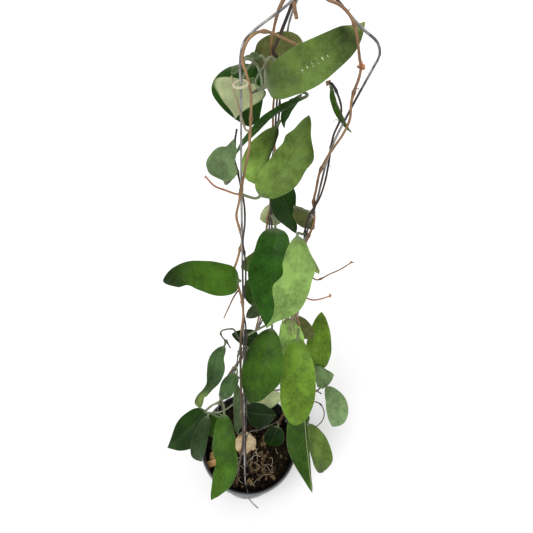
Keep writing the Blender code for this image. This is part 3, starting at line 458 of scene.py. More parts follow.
LEAVES = {
    "leaf_top_big": leaf("runner_top", mm(-2, 82, 593), mm(69, 104, 635), 0.034, tone="soft",
        shade=(0.62, 0.70, 0.80, 0.85, 0.75, 0.4, 1.0), glow=(0, 0, 0, 0, 0, 0, 1.0), rib=0.02,
        round=0.30, point=0.56, right=(1.0, 1.02, 1.03, 1.0, 1.0), sway=0.07, arch=0.04, cup=15, curl=25,
        curl_from=0.84, scratch=1.0, fold=3, wave=0.012, twist=(0, 0, 0, 0, 0, 0, -35)),
    "leaf_top_behind": leaf("vine_back_dark", mm(9, 133, 589), mm(-1, 135, 621), 0.049, tone="olive",
        shade=1.1, shade_left=0.45, point=0.42, swelling=mm(16, 132, 590), turn=10, cup=10, arch=0.02,
        fold=12),
    "leaf_top_curled": leaf("vine_back_brown", mm(-24, 115, 589), mm(-30, 106, 557), 0.049, tone="dark",
        shade=1.3, under=0.85, round=0.5, point=1.6, right=(1, 0.95, 0.85, 0.75, 0.8), node=0.600,
        swelling=mm(-30, 122, 601), turn=180, cup=-8, arch=-0.05, fold=-4),
    "leaf_long_edge": leaf("vine_back_brown", mm(29, 98, 582), mm(-27, 72, 538), 0.017, tone="dark",
        shade=1.4, under=0.3, turn=50, cup=10, arch=0.08),
    "leaf_edge_short": leaf("vine_back_dark", mm(27, 118, 577), mm(13, 110, 552), 0.015, tone="dark",
        shade=1.3, under=0.3, turn=45, curl=-40),
    "leaf_left_small": leaf("vine_front_dark", mm(-30, 34, 534), mm(-24, 44, 566), 0.033, tone="grey",
        shade=1.35, round=0.6, point=1.5, left=(0.9, 0.9, 0.95, 1, 1), right=(0.6, 0.75, 0.75, 0.7, 1),
        sway=(0, -0.03, -0.02, 0.05, 0), swelling=mm(-30, 34, 532), turn=-12, arch=0.08, curl=-40,
        curl_from=0.8),
    "leaf_light_back": leaf("vine_back_dark", mm(9, 103, 556), mm(-12, 79, 510), 0.032, tone="soft",
        shade=(0.55, 1.05, 1.6, 1.95, 2.0), shade_left=0.04, round=0.8, point=0.45,
        left=(1, 0.85, 0.7, 0.66, 0.7, 0.9), swelling=mm(10, 103, 556), turn=15, cup=30),
    "leaf_right_bright": leaf("vine_front_tan", mm(-2, 45, 516), mm(34, 77, 575), 0.037, tone="soft",
        shade=(1.05, 1.0, 0.92, 0.84, 0.60, 0.52), shade_left=1.35, rib=0.05,
        left=(1.0, 0.92, 0.80, 0.76, 0.80, 0.74, 1.0, 1.0, 1.0),
        right=(1.0, 1.0, 1.05, 1.0, 0.92, 1.10, 0.95, 0.9, 1.0), sway=(0, 0.03, 0.075, 0.08, 0.06, 0.0),
        swelling=mm(0, 45, 517), arch=0.05, cup=22, pucker=0.0004, twist=(0, 0, 0, 0, -40, -35)),
    "leaf_dark_middle": leaf("vine_back_brown", mm(12, 100, 502), mm(38, 89, 447), 0.038, tone="dark",
        shade=0.98, point=0.9, left=(1, 0.75, 0.45, 0.35, 0.4), right=(1, 1.15, 1.15, 0.9, 0.8),
        swelling=mm(14, 100, 503), turn=-15, cup=30, fold=8),
    "leaf_pale_middle": leaf("vine_back_brown", mm(23, 113, 460), mm(-3, 107, 450), 0.026, under=0.9,
        turn=175, cup=20),
    "leaf_olive_middle": leaf("vine_right_brown", mm(32, 74, 488), mm(53, 68, 470), 0.018, tone="olive",
        shade=0.8, swelling=mm(30, 80, 498), turn=20, cup=40, curl=40),
    "leaf_dark_large": leaf("vine_back_dark", mm(14, 70, 466), mm(13, 16, 373), 0.043, tone="dark",
        shade=(1.5, 2.0, 2.0, 1.7, 1.3), rib=0.01, round=0.42, point=0.9, left=(1, 0.9, 0.85, 0.9, 1),
        right=(0.9, 0.9, 1.1, 1.1, 1, 1), turn=8, arch=0.08, cup=30, pucker=0.0003),
    "leaf_bright_wavy": leaf("vine_right_dark", mm(35, 44, 477), mm(12, -5, 398), 0.0385, tone="bright",
        shade=(0.95, 1.1, 1.3, 1.2, 1.0), rib=0.05, round=0.60, point=0.72,
        left=(0.9, 0.86, 1.0, 0.82, 0.92, 0.92, 0.72, 0.50, 0.4),
        right=(0.9, 0.95, 0.90, 0.74, 1.08, 0.92, 0.56, 0.42, 0.4), sway=-0.095, swelling=mm(35, 44, 475),
        turn=-12, arch=0.08, cup=20, wave=0.07, pucker=0.0004, ripple=0, waves=2.6),
    "leaf_behind_wavy": leaf("vine_right_dark", mm(40, 82, 446), mm(68, 70, 407), 0.016, tone="olive",
        glow=(0, 0, 0.3, 0.9), left=(1, 0.6, 0.5, 0.6, 1), right=(1, 0.6, 0.5, 0.6, 1), turn=15),
    "leaf_left_level": leaf("vine_front_tan", mm(-17, 15, 441), mm(-81, -6, 455), 0.031,
        shade=(0.72, 0.88, 1.0, 1.05, 0.85, 0.4, 0.28), shade_right=0.85, rib=0.01, round=0.32, point=0.6,
        left=(1, 1.05, 1.05, 1.0, 0.86, 0.74, 1.15, 1), right=(1, 1, 1, 1.05, 1.0),
        sway=(0, 0.01, 0.02, 0.04, 0.06, 0.05, 0), swelling=mm(-20, 15, 443), turn=12, arch=0.07, cup=12,
        pucker=0.0003),
    "leaf_olive_left": leaf("vine_back_dark", mm(10, 78, 424), mm(-20, 62, 415), 0.026, tone="soft",
        shade=0.85, swelling=mm(17, 78, 430), turn=-20),
    "leaf_grey_left": leaf("vine_back_brown", mm(-6, 78, 386), mm(-6, 64, 352), 0.024, shade=0.6,
        swelling=mm(14, 78, 378), turn=10),
    "leaf_broad_middle": leaf("vine_front_dark", mm(19, 28, 356), mm(2, -31, 294), 0.043,
        shade=(0.65, 0.75, 0.9, 0.85, 0.65), shade_right=0.5, rib=0.02, round=0.64, point=0.7,
        left=(1, 1.08, 1.22, 1.25, 1.05, 1), swelling=mm(23, 28, 360), turn=6, arch=0.09, cup=24,
        pucker=0.0004),
    "leaf_under_broad": leaf("vine_right_dark", mm(38, 48, 352), mm(43, 6, 296), 0.036, tone="bright",
        shade=1.95, swelling=mm(35, 50, 353), turn=-20, cup=30),
    "leaf_yellow_green": leaf("vine_right_brown", mm(50, 28, 341), mm(55, -42, 270), 0.042, tone="lime",
        shade=(0.85, 1.0, 1.05, 1.0, 0.95), rib=0.05, round=0.52, point=0.55,
        left=(0.9, 0.95, 1.0, 1.0, 0.95), right=(1, 1, 1, 1.05, 1), swelling=mm(51, 28, 341), arch=0.09,
        cup=18, pucker=0.00035),
    "leaf_right_upright": leaf("vine_right_brown", mm(88, 46, 247), mm(86, 88, 321), 0.036, tone="lime",
        shade=0.98, shade_left=0.7, rib=0.04, swelling=mm(86, 46, 252), turn=-10),
    "leaf_right_olive": leaf("vine_right_dark", mm(48, 76, 320), mm(76, 60, 300), 0.026, tone="olive",
        shade=1.1, turn=10),
    "leaf_grey_right": leaf("stem_side_right", mm(86, 46, 234), mm(110, 37, 252), 0.036, tone="grey",
        shade=1.9, round=0.45, point=0.8, swelling=mm(84, 48, 238), cup=30),
    "leaf_pale_right": leaf("stem_side_right", mm(103, 33, 226), mm(121.2, 2, 172), 0.032, tone="grey",
        shade=(1.5, 1.8, 2.1, 2.3, 2.4), round=0.6, point=0.5, right=(1, 1.15, 1.2, 1.1, 0.9), sway=-0.14,
        swelling=mm(101, 33, 212), turn=-10, cup=18, fold=10),
    "leaf_right_long": leaf("vine_right_dark", mm(76, 10, 194), mm(93, -69, 124), 0.064, shade=0.62,
        rib=0.5, round=0.5, point=1.0, left=0.4, right=(1, 0.9, 0.9, 0.85, 0.85), node=0.175,
        swelling=mm(76, 10, 191), turn=12, cup=14, fold=-10, roll=-120, roll_from=0.02),
    "leaf_right_low": leaf("vine_right_brown", mm(91, 20, 133), mm(121, -27, 80), 0.038, tone="soft",
        point=0.38, swelling=mm(90, 20, 135), turn=-25, cup=20, pucker=0.0003),
    "leaf_front_wavy": leaf("stem_left", mm(-33, -18, 233), mm(-38, -98.6, 178), 0.034,
        shade=(0.72, 0.8, 1.0, 1.25, 1.15), shade_left=0.75, rib=0.03, point=0.72,
        left=(1, 1.0, 1.05, 1.05, 0.95, 0.95, 1.0, 0.8, 0.7),
        right=(1, 0.88, 0.80, 0.82, 0.70, 0.85, 1.0, 0.9, 0.8),
        sway=(0, -0.02, -0.04, -0.06, -0.115, -0.13, -0.10, -0.05, 0), node=0.226,
        swelling=mm(-35, -18, 236), turn=8, arch=0.08, cup=15, wave=0.06, ripple=0, pucker=0.0003),
    "leaf_left_far": leaf("stem_left", mm(-62, 0, 199), mm(-111.5, -37, 157), 0.040, tone="dark",
        shade=(0.78, 0.72, 0.72, 0.78, 1.0), rib=0.03, point=0.85, left=(1, 1.05, 1.2, 1.15, 0.8),
        right=(1, 0.95, 0.85, 0.6, 0.4), node=0.208, turn=5, arch=0.12, cup=12),
    "leaf_left_grey": leaf("stem_left", mm(-57, -10, 205), mm(-67, -54, 160), 0.026, tone="slate",
        shade=0.52, rib=0.03, point=0.5, node=0.190, turn=15, cup=35, curl=-25, fold=14),
    "leaf_upper_left": leaf("stem_left_loop", mm(-37, 29, 313), mm(-64, -14, 242), 0.027, tone="slate",
        shade=(0.9, 1.15, 0.9, 0.75, 1.2), glow=(0, 0, 0, 0, 0, 0.6, 0.7), round=0.5, point=0.5,
        left=(1, 1, 1, 0.8, 0.6, 0.9, 1), right=(1, 1.1, 0.95, 0.85, 0.8, 1.1, 1),
        sway=(0, 0.06, 0.03, 0.0, 0.03, 0.08, 0), swelling=mm(-38, 29, 312), turn=-25, cup=30, curl=30,
        curl_from=0.82, twist=(0, 0, -10, -25, -40), fold=10),
    "leaf_grey_pot": leaf("stem_left", mm(-20, 12, 280), mm(-36, -6, 248), 0.022, tone="slate", shade=0.9,
        turn=20),
    "leaf_upright_narrow": leaf("vine_front_dark", mm(-15, -27, 203), mm(-23, 22, 245), 0.019,
        tone="grey", shade=0.9, under=0.5, turn=40, cup=30, arch=0.03),
    "leaf_dark_pot": leaf("stem_side_right", mm(-6, 10, 180), mm(36, 2, 196), 0.036, tone="dark",
        shade=0.45, swelling=mm(2, 10, 192), turn=-10),
    "leaf_pale_pot": leaf("vine_back_dark", mm(-4, 24, 180), mm(45, 36, 185), 0.036, tone="grey",
        under=0.95, swelling=mm(-8, 30, 188), turn=170),
    "leaf_behind_wire": leaf("stem_left", mm(4, 36, 322), mm(-27, 28, 340), 0.022, tone="dark", shade=0.6,
        swelling=mm(2, 36, 331), turn=10),
}
# Leaves too small or too hidden for the frame.
EXTRA_LEAVES = {
    "leaf_top_flap": leaf("vine_back_brown", mm(-25, 132, 598), mm(-18, 126, 545.6), 0.054, tone="dark",
        shade=1.3, round=0.4, point=0.6, left=(0.8, 0.7, 0.6, 0.6, 0.8), right=(1, 1.2, 1.1, 0.9, 0.7),
        node=0.600, cup=10),
    "leaf_left_olive": leaf("stem_left", mm(-52, 2, 189), mm(-51, -23, 168), 0.022, shade=0.8,
        node=0.186),
    "leaf_low_pot": leaf("runner_pot", mm(42, 8, 146), mm(32, -8, 112), 0.032, tone="dark", shade=0.5),
    "leaf_small_dark": leaf("vine_back_dark", mm(3, 62, 352), mm(-12, 46, 350), 0.016, tone="grey",
        shade=0.6),
    "leaf_narrow_green": leaf("vine_right_dark", mm(50, 90, 594), mm(73, 85, 561), 0.010, under=0.5,
        turn=80, cup=50),
    "young_leaf_high": leaf(None, mm(-26, 98, 602), mm(-31, 96, 596), 0.006, tone="grey", curl=60,
        curl_from=0.2),
    "young_leaf_left": leaf(None, mm(-10, 108, 607), mm(-18, 104, 611), 0.006, tone="grey", curl=-80,
        curl_from=0.2),
    "young_leaf_low": leaf(None, mm(-12, 104, 593), mm(-20, 100, 588), 0.006, tone="grey", curl=80,
        curl_from=0.2),
    "young_leaf_bud": leaf(None, mm(3, 118, 603), mm(9, 116, 597), 0.006, tone="grey", curl=90,
        curl_from=0.1),
}
DEAD_LEAF = leaf(None, mm(-22, 1, 97), mm(14, -5, 98), 0.034, tone="dry", rib=0.3, turn=-40, arch=0.12,
        cup=-30, wave=0.06, curl=-40, curl_from=0.6)


class Stem:
    """A stem's looks, radius and points, and the coarse path that leaves and shoots are set on."""

    def __init__(self, kind, radius, points):
        self.kind, self.radius, self.points = kind, radius, points
        self.path = smooth_path(points, STEM_STEP)


GROWN = {name: Stem(*values) for name, values in STEMS.items()}


def growing_point(stem_name, base, height=None):
    """Where something leaves its stem, beside its nearest point or at a height, and the way out."""
    path = GROWN[stem_name].path
    if height is None:
        nearest = min(path[1:-1], key=lambda p: (p - base).length)
    else:
        nearest = min(path[1:-1], key=lambda p: abs(p.z - height))
    along = tangents(path)[path.index(nearest)]
    out = base - nearest
    out = (out - along * out.dot(along)).normalized()
    return nearest + out * (GROWN[stem_name].radius + GAP), out


for shoot, (parent, looks, thickness, passed) in SIDE_SHOOTS.items():
    root, outwards = growing_point(parent, passed[0])
    GROWN[shoot] = Stem(looks, thickness, [root, root + outwards * SOCKET, *passed])


# ================================================================ materials
def shade(tone, share):
    """A colour made darker or lighter by this share."""
    return tuple(min(1.0, part * share) for part in tone)


class Graph:
    """The nodes of one material, added and joined by short calls."""

    def __init__(self, name):
        self.material = bpy.data.materials.new(name)
        self.material.use_nodes = True
        self.tree = self.material.node_tree
        self.shader = self.tree.nodes["Principled BSDF"]

    def put(self, value, socket):
        if isinstance(value, bpy.types.NodeSocket):
            self.tree.links.new(value, socket)
        elif isinstance(value, (tuple, list)) or hasattr(value, "__len__"):
            socket.default_value = (*value, 1.0) if len(value) < len(socket.default_value) else value
        else:
            socket.default_value = value

    def node(self, kind, settings=None, **inputs):
        made = self.tree.nodes.new(kind)
        for name, value in (settings or {}).items():
            setattr(made, name, value)
        for name, value in inputs.items():
            self.put(value, made.inputs[name.replace("_", " ")])
        return made

    def place(self):
        return self.node("ShaderNodeTexCoord").outputs["Object"]

    def attribute(self, name, output="Fac"):
        return self.node("ShaderNodeAttribute", {"attribute_name": name}).outputs[output]

    def vector(self, x, y, z):
        return self.node("ShaderNodeCombineXYZ", X=x, Y=y, Z=z).outputs[0]

    def filled(self, made, *values):
        """A node with these values or outputs put into its inputs, in order."""
        for value, socket in zip(values, made.inputs):
            self.put(value, socket)
        return made

    def math(self, operation, *values):
        return self.filled(self.node("ShaderNodeMath", {"operation": operation}), *values).outputs[0]

    def vector_math(self, operation, *values):
        return self.filled(self.node("ShaderNodeVectorMath", {"operation": operation}), *values).outputs

    def times(self, first, second):
        return self.math("MULTIPLY", first, second)

    def mix(self, factor, first, second):
        made = self.node("ShaderNodeMix", {"data_type": "RGBA"})
        for value, socket in ((factor, made.inputs[0]), (first, made.inputs[6]), (second, made.inputs[7])):
            self.put(value, socket)
        return made.outputs[2]

    def ramp(self, value, low, high, to_low=0.0, to_high=1.0):
        made = self.node("ShaderNodeMapRange", {"interpolation_type": "SMOOTHSTEP"}, Value=value,
                         From_Min=low, From_Max=high, To_Min=to_low, To_Max=to_high)
        return made.outputs[0]

    def noise(self, vector, scale, detail=3.0, roughness=0.55):
        return self.node("ShaderNodeTexNoise", Vector=vector, Scale=scale, Detail=detail,
                         Roughness=roughness).outputs["Fac"]

    def warped(self, vector, scale, reach):
        """A place pushed about by a soft noise."""
        push = self.node("ShaderNodeTexNoise", Vector=vector, Scale=scale, Detail=2.0).outputs["Color"]
        middle = self.vector_math("SUBTRACT", push, (0.5, 0.5, 0.5))[0]
        return self.vector_math("MULTIPLY_ADD", middle, (reach, reach, reach), vector)[0]

    def scaled(self, tone, share):
        """A colour made lighter or darker by a share."""
        return self.node("ShaderNodeVectorMath", {"operation": "SCALE"}, Vector=tone,
                         Scale=share).outputs[0]

    def level(self, place):
        return self.node("ShaderNodeSeparateXYZ", Vector=place).outputs["Z"]

    def cell_walls(self, vector, scale):
        """The distance to the walls of a net of cells."""
        return self.node("ShaderNodeTexVoronoi", {"feature": "DISTANCE_TO_EDGE"}, Vector=vector,
                         Scale=scale).outputs["Distance"]

    def bump(self, height, depth, under=None):
        made = self.node("ShaderNodeBump", Height=height, Distance=depth)
        if under is not None:
            self.put(under, made.inputs["Normal"])
        return made.outputs[0]

    def finish(self, **inputs):
        for name, value in inputs.items():
            self.put(value, self.shader.inputs[name.replace("_", " ")])
        return self.material


def leaf_finish(leaves, stalk_green):
    """A waxy leaf: a faint midrib and side veins, mottled green, a lighter margin and underside."""
    pale, silver = tuple(leaves.pale), tuple(leaves.silver)
    g = Graph("leaf_wax")
    place = g.place()
    across = g.math("ABSOLUTE", g.attribute("across"))
    along = g.attribute("along")
    wander = g.times(g.math("SUBTRACT", g.noise(place, 110.0, 2.0), 0.5), 0.007)
    slanted = g.math("SUBTRACT", along, g.times(across, VEIN_SLANT))
    rung = g.math("PINGPONG", g.math("DIVIDE", g.math("ADD", slanted, wander), leaves.vein_spacing), 0.5)
    vein = g.times(g.ramp(rung, 0.0, 0.09, 1.0, 0.0), g.ramp(across, 0.0006, 0.003))
    vein = g.times(vein, g.ramp(g.noise(place, 60.0, 2.0), 0.42, 0.64))
    midrib = g.ramp(across, 0.0003, 0.0012, 1.0, 0.0)
    cloud = g.ramp(g.noise(place, 55.0, 3.0, 0.55), 0.33, 0.68)
    mottle = g.ramp(g.noise(place, 300.0, 3.0, 0.6), 0.36, 0.66)
    dark_vein = g.ramp(g.cell_walls(g.warped(place, 160.0, 0.004), 210.0), 0.0, 0.10, 1.0, 0.0)
    fleck = g.ramp(g.noise(place, 1100.0, 1.0), 0.72, 0.80)
    # tone holds each leaf's colour together with its painted light and shade
    tone = g.attribute("tone", "Color")
    broad_cloud = g.ramp(g.noise(place, 24.0, 2.0), 0.36, 0.64, 0.80, 1.18)
    body = g.scaled(tone, g.times(broad_cloud, g.ramp(cloud, 0.0, 1.0, 0.66, 1.16)))
    body = g.mix(g.times(mottle, 0.40), body, g.scaled(tone, 1.35))
    body = g.mix(g.times(dark_vein, 0.10), body, g.scaled(tone, 0.5))
    body = g.mix(g.times(vein, 0.24), body, g.scaled(tone, 1.8))
    body = g.mix(g.times(fleck, 0.14), body, silver)
    body = g.mix(g.times(midrib, g.attribute("rib")), body, shade(pale, 0.85))
    margin = g.ramp(g.attribute("margin"), 0.95, 1.0)
    body = g.mix(g.times(margin, 0.16), body, shade(pale, 0.7))
    dash = g.ramp(g.math("PINGPONG", g.math("DIVIDE", along, 0.0042), 0.5), 0.06, 0.13, 1.0, 0.0)
    dash = g.times(dash, g.ramp(g.noise(place, 330.0, 1.0), 0.42, 0.52))
    body = g.mix(g.times(dash, g.attribute("scratch")), body, silver)
    under = g.scaled(g.mix(cloud, shade(pale, 0.72), pale), g.attribute("under"))
    under = g.mix(g.times(vein, 0.30), under, shade(pale, 1.3))
    body = g.mix(g.attribute("upper"), under, body)
    body = g.mix(g.attribute("stalk"), body, stalk_green)
    grain = g.bump(g.noise(place, 1500.0, 2.0), 0.00005)
    pucker = g.bump(g.noise(place, 190.0, 3.0), 0.0010, grain)
    sunken = g.math("ADD", g.times(vein, -0.6), g.times(midrib, -1.0))
    normal = g.bump(sunken, 0.00025, pucker)
    gloss = g.ramp(g.noise(place, 130.0, 3.0), 0.3, 0.75, 0.40, 0.56)
    return g.finish(Base_Color=body, Roughness=gloss, Normal=normal, Specular_IOR_Level=0.11)


def dry_leaf_finish(leaves):
    """A dead leaf: cream, with tan patches and brown margins."""
    g = Graph("leaf_dry")
    place = g.place()
    across = g.math("ABSOLUTE", g.attribute("across"))
    dry = tuple(leaves.dry)
    patch = g.ramp(g.noise(place, 70.0, 4.0, 0.65), 0.45, 0.62)
    body = g.mix(patch, dry, (0.50, 0.27, 0.10))
    spot = g.ramp(g.noise(place, 500.0, 2.0), 0.5, 0.7)
    body = g.mix(g.times(spot, 0.4), body, shade(dry, 0.6))
    body = g.mix(g.ramp(g.attribute("margin"), 0.86, 1.0), body, (0.36, 0.20, 0.08))
    body = g.mix(g.ramp(across, 0.0003, 0.0012, 0.6, 0.0), body, shade(dry, 0.7))
    wrinkle = g.bump(g.noise(place, 260.0, 4.0, 0.65), 0.0012)
    return g.finish(Base_Color=body, Roughness=0.75, Normal=wrinkle)


def bark_finish(name, main, light, dark, pale_share=0.45, roughness=0.62, dark_below=None):
    """A thin woody stem: streaks along it, scars round it and paler patches, dark below a height."""
    g = Graph(name)
    place = g.place()
    grain = g.vector(g.attribute("ring_x"), g.attribute("ring_y"),
                     g.times(g.attribute("along"), 90.0))
    streak = g.noise(grain, 1.6, 3.0, 0.6)
    patch = g.ramp(g.noise(place, 75.0, 3.0), 0.38, 0.64)
    rounds = g.vector(0.0, 0.0, g.times(g.attribute("along"), 620.0))
    scar = g.ramp(g.noise(rounds, 1.0, 2.0), 0.56, 0.70)
    body = g.mix(g.ramp(streak, 0.3, 0.7), shade(main, 0.55), shade(main, 1.35))
    body = g.mix(g.times(patch, pale_share), body, light)
    body = g.mix(g.times(scar, 0.55), body, dark)
    body = g.mix(g.times(g.attribute("knot"), 0.45), body, dark)
    if dark_below is not None:
        # darker below a height, towards the pot
        darker_low = g.ramp(g.level(place), dark_below - 0.03, dark_below + 0.04, 0.88, 0.0)
        body = g.mix(darker_low, body, shade(dark, 0.25))
    rough = g.ramp(streak, 0.2, 0.8, roughness - 0.1, roughness + 0.12)
    normal = g.bump(g.math("ADD", streak, g.times(scar, 0.5)), 0.0004)
    return g.finish(Base_Color=body, Roughness=rough, Normal=normal)


def wire_finish(hanger):
    """Galvanised wire, grey where it is bare and dark where it has tarnished."""
    g = Graph("wire_zinc")
    place = g.place()
    worn = g.ramp(g.noise(place, 34.0, 4.0, 0.6), 0.42, 0.60)
    speck = g.ramp(g.noise(place, 700.0, 3.0), 0.55, 0.7)
    body = g.mix(worn, tuple(hanger.tarnish), tuple(hanger.zinc))
    body = g.mix(g.times(speck, 0.5), body, (0.10, 0.075, 0.05))
    rough = g.ramp(g.noise(place, 260.0, 3.0), 0.3, 0.7, 0.34, 0.55)
    metal = g.ramp(worn, 0.0, 1.0, 0.55, 0.9)
    return g.finish(Base_Color=body, Roughness=rough, Metallic=metal,
                    Normal=g.bump(g.noise(place, 1200.0, 2.0), 0.00006))


def plastic_finish(pot):
    """Black moulded plastic, dusted with lime here and there, scuffed, and paler on the lip's outer band.
    """
    g = Graph("pot_black")
    place = g.place()
    cloud = g.ramp(g.noise(place, 26.0, 5.0, 0.65), 0.42, 0.75)
    level_streaks = g.node("ShaderNodeMapping", Vector=place, Scale=(1.0, 1.0, 9.0)).outputs[0]
    scuff = g.ramp(g.noise(level_streaks, 120.0, 4.0, 0.7), 0.62, 0.76)
    flat = g.vector_math("MULTIPLY", place, (1.0, 1.0, 0.0))[0]
    out = g.vector_math("LENGTH", flat)["Value"]
    beyond_lip = g.ramp(out, LIP_RADIUS - 0.0015, LIP_RADIUS - 0.001)
    # the lip's outer band is made paler, towards the dust colour
    band = g.times(g.ramp(g.level(place), POT_HEIGHT - 0.0095, POT_HEIGHT - 0.0075), beyond_lip)
    dust_and_lip_band = g.math("ADD", g.times(cloud, 0.30), g.times(scuff, 0.40))
    dust_and_lip_band = g.math("ADD", dust_and_lip_band, g.times(band, 1.3))
    body = g.mix(dust_and_lip_band, tuple(pot.plastic), tuple(pot.dust))
    rough = g.ramp(g.noise(place, 60.0, 4.0), 0.3, 0.7, 0.26, 0.48)
    return g.finish(Base_Color=body, Roughness=rough, Normal=g.bump(g.noise(place, 900.0, 2.0), 0.00005))


def chip_finish(name, main, light, dark):
    """Composted bark: each chip has its own shade, with grain and dark crevices."""
    g = Graph(name)
    place = g.place()
    tint = g.attribute("tint")
    grain = g.noise(place, 420.0, 5.0, 0.7)
    body = g.mix(g.math("POWER", tint, 2.2), shade(main, 0.45), shade(light, 0.9))
    body = g.mix(g.times(g.ramp(grain, 0.45, 0.72), 0.75), body, light)
    body = g.mix(g.ramp(g.noise(place, 160.0, 3.0), 0.52, 0.68), body, dark)
    return g.finish(Base_Color=body, Roughness=0.9, Normal=g.bump(grain, 0.0011), Specular_IOR_Level=0.08)


# ================================================================ shapes
def added(name, data):
    """A new object of the scene with this data."""
    made = bpy.data.objects.new(name, data)
    bpy.context.collection.objects.link(made)
    return made


def finished(name, bm, finish, smooth=True, crease=40.0):
    """Makes a closed mesh an object, its faces pointing out."""
    bmesh.ops.recalc_face_normals(bm, faces=bm.faces)
    if bm.calc_volume(signed=True) < 0:
        bmesh.ops.reverse_faces(bm, faces=bm.faces)
    mesh = bpy.data.meshes.new(name)
    bm.to_mesh(mesh)
    bm.free()
    mesh.materials.append(finish)
    if smooth:
        mesh.shade_smooth()
        mesh.set_sharp_from_angle(angle=math.radians(crease))
    return added(name, mesh)


def belongs(piece, slot, *nodes):
    """Puts a piece on the plant's body and hides the frame's nodes that it stands for; its slot is not
    used.
    """
    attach(piece, BODY)
    if nodes:
        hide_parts(*nodes)
    return piece


def append(bm, part):
    """Adds one bmesh to another."""
    mesh = bpy.data.meshes.new("part")
    part.to_mesh(mesh)
    part.free()
    bm.from_mesh(mesh)
    bpy.data.meshes.remove(mesh)


def skin(rings, marks):
    """A closed bmesh over rings of points, with marks, each a value for every row and column."""
    sides, rows = len(rings[0]), len(rings) - 1
    bm = bmesh.new()
    bmesh.ops.create_cone(bm, cap_ends=True, segments=sides, radius1=1, radius2=1, depth=1)
    if rows > 1:
        uprights = [e for e in bm.edges if abs(e.verts[0].co.z - e.verts[1].co.z) > 0.5]
        bmesh.ops.subdivide_edges(bm, edges=uprights, cuts=rows - 1)
    layers = []
    for name, value in marks.items():
        kinds = bm.verts.layers.float_vector if isinstance(value(0, 0), Vector) else bm.verts.layers.float
        layers.append((kinds.new(name), value))
    first_turn = min(math.atan2(v.co.y, v.co.x) % (2 * math.pi) for v in bm.verts)
    for v in bm.verts:
        row = round((v.co.z + 0.5) * rows)
        turn = (math.atan2(v.co.y, v.co.x) - first_turn) / (2 * math.pi) * sides
        column = round(turn) % sides
        v.co = rings[row][column]
        for layer, value in layers:
            v[layer] = value(row, column)
    return bm


def tube_rings(path, radii, sides):
    """Rings square to a path, turned as little as possible from one to the next."""
    along = tangents(path)
    side = along[0].orthogonal().normalized()
    rings = []
    for point, direction, radius in zip(path, along, radii):
        side = (side - direction * side.dot(direction)).normalized()
        other = direction.cross(side)
        rings.append([point + (side * math.cos(a) + other * math.sin(a)) * radius
                      for a in (2 * math.pi * k / sides for k in range(sides))])
    return rings


def run_lengths(path):
    total, runs = 0.0, [0.0]
    for a, b in zip(path, path[1:]):
        total += (b - a).length
        runs.append(total)
    return runs


def tube(path, radii, sides, knots=None):
    """A round bar along a path, marked for a bark's grain."""
    runs = run_lengths(path)
    swell = knots or [0.0] * len(path)
    marks = {
        "along": lambda row, column: runs[row],
        "ring_x": lambda row, column: math.cos(2 * math.pi * column / sides),
        "ring_y": lambda row, column: math.sin(2 * math.pi * column / sides),
        "knot": lambda row, column: swell[row],
    }
    return skin(tube_rings(path, radii, sides), marks)


def turned(profile, segments):
    """A closed solid turned round +Z from (radius, height) points that start and end on the axis."""
    bm = bmesh.new()
    points = [bm.verts.new((r, 0, z)) for r, z in profile]
    edges = [bm.edges.new(pair) for pair in zip(points, points[1:])]
    bmesh.ops.spin(bm, geom=points + edges, cent=(0, 0, 0), axis=(0, 0, 1), angle=2 * math.pi,
                   steps=segments, use_merge=True)
    bmesh.ops.remove_doubles(bm, verts=bm.verts, dist=1e-6)
    return bm


def arc(centre_r, centre_z, radius, start, end, steps=5):
    """Points of a quarter or half round in a turned profile, from one angle to another."""
    turns = [math.radians(start + (end - start) * i / steps) for i in range(steps + 1)]
    return [(centre_r + radius * math.cos(t), centre_z + radius * math.sin(t)) for t in turns]


def drilled(piece, holes):
    """Cuts round holes, each a centre, a direction and a radius, through a piece."""
    cutter_bm = bmesh.new()
    askew = Matrix.Rotation(0.07, 4, "Z")  # keeps the cutter's corners off the piece's own edges
    for centre, direction, radius in holes:
        turn = UP.rotation_difference(direction).to_matrix().to_4x4() @ askew
        bmesh.ops.create_cone(cutter_bm, cap_ends=True, segments=32, radius1=radius, radius2=radius,
                              depth=CUTTER_DEPTH, matrix=Matrix.Translation(centre) @ turn)
    cutter = finished("cutter", cutter_bm, piece.data.materials[0], smooth=False)
    step = piece.modifiers.new("holes", "BOOLEAN")
    step.operation, step.solver, step.object = "DIFFERENCE", "EXACT", cutter
    shaped = bpy.data.meshes.new_from_object(piece.evaluated_get(bpy.context.evaluated_depsgraph_get()))
    piece.modifiers.clear()
    plain, piece.data = piece.data, shaped
    shaped.name = plain.name
    bpy.data.meshes.remove(plain)
    bpy.data.objects.remove(cutter)
    piece.data.shade_smooth()
    piece.data.set_sharp_from_angle(angle=math.radians(30))


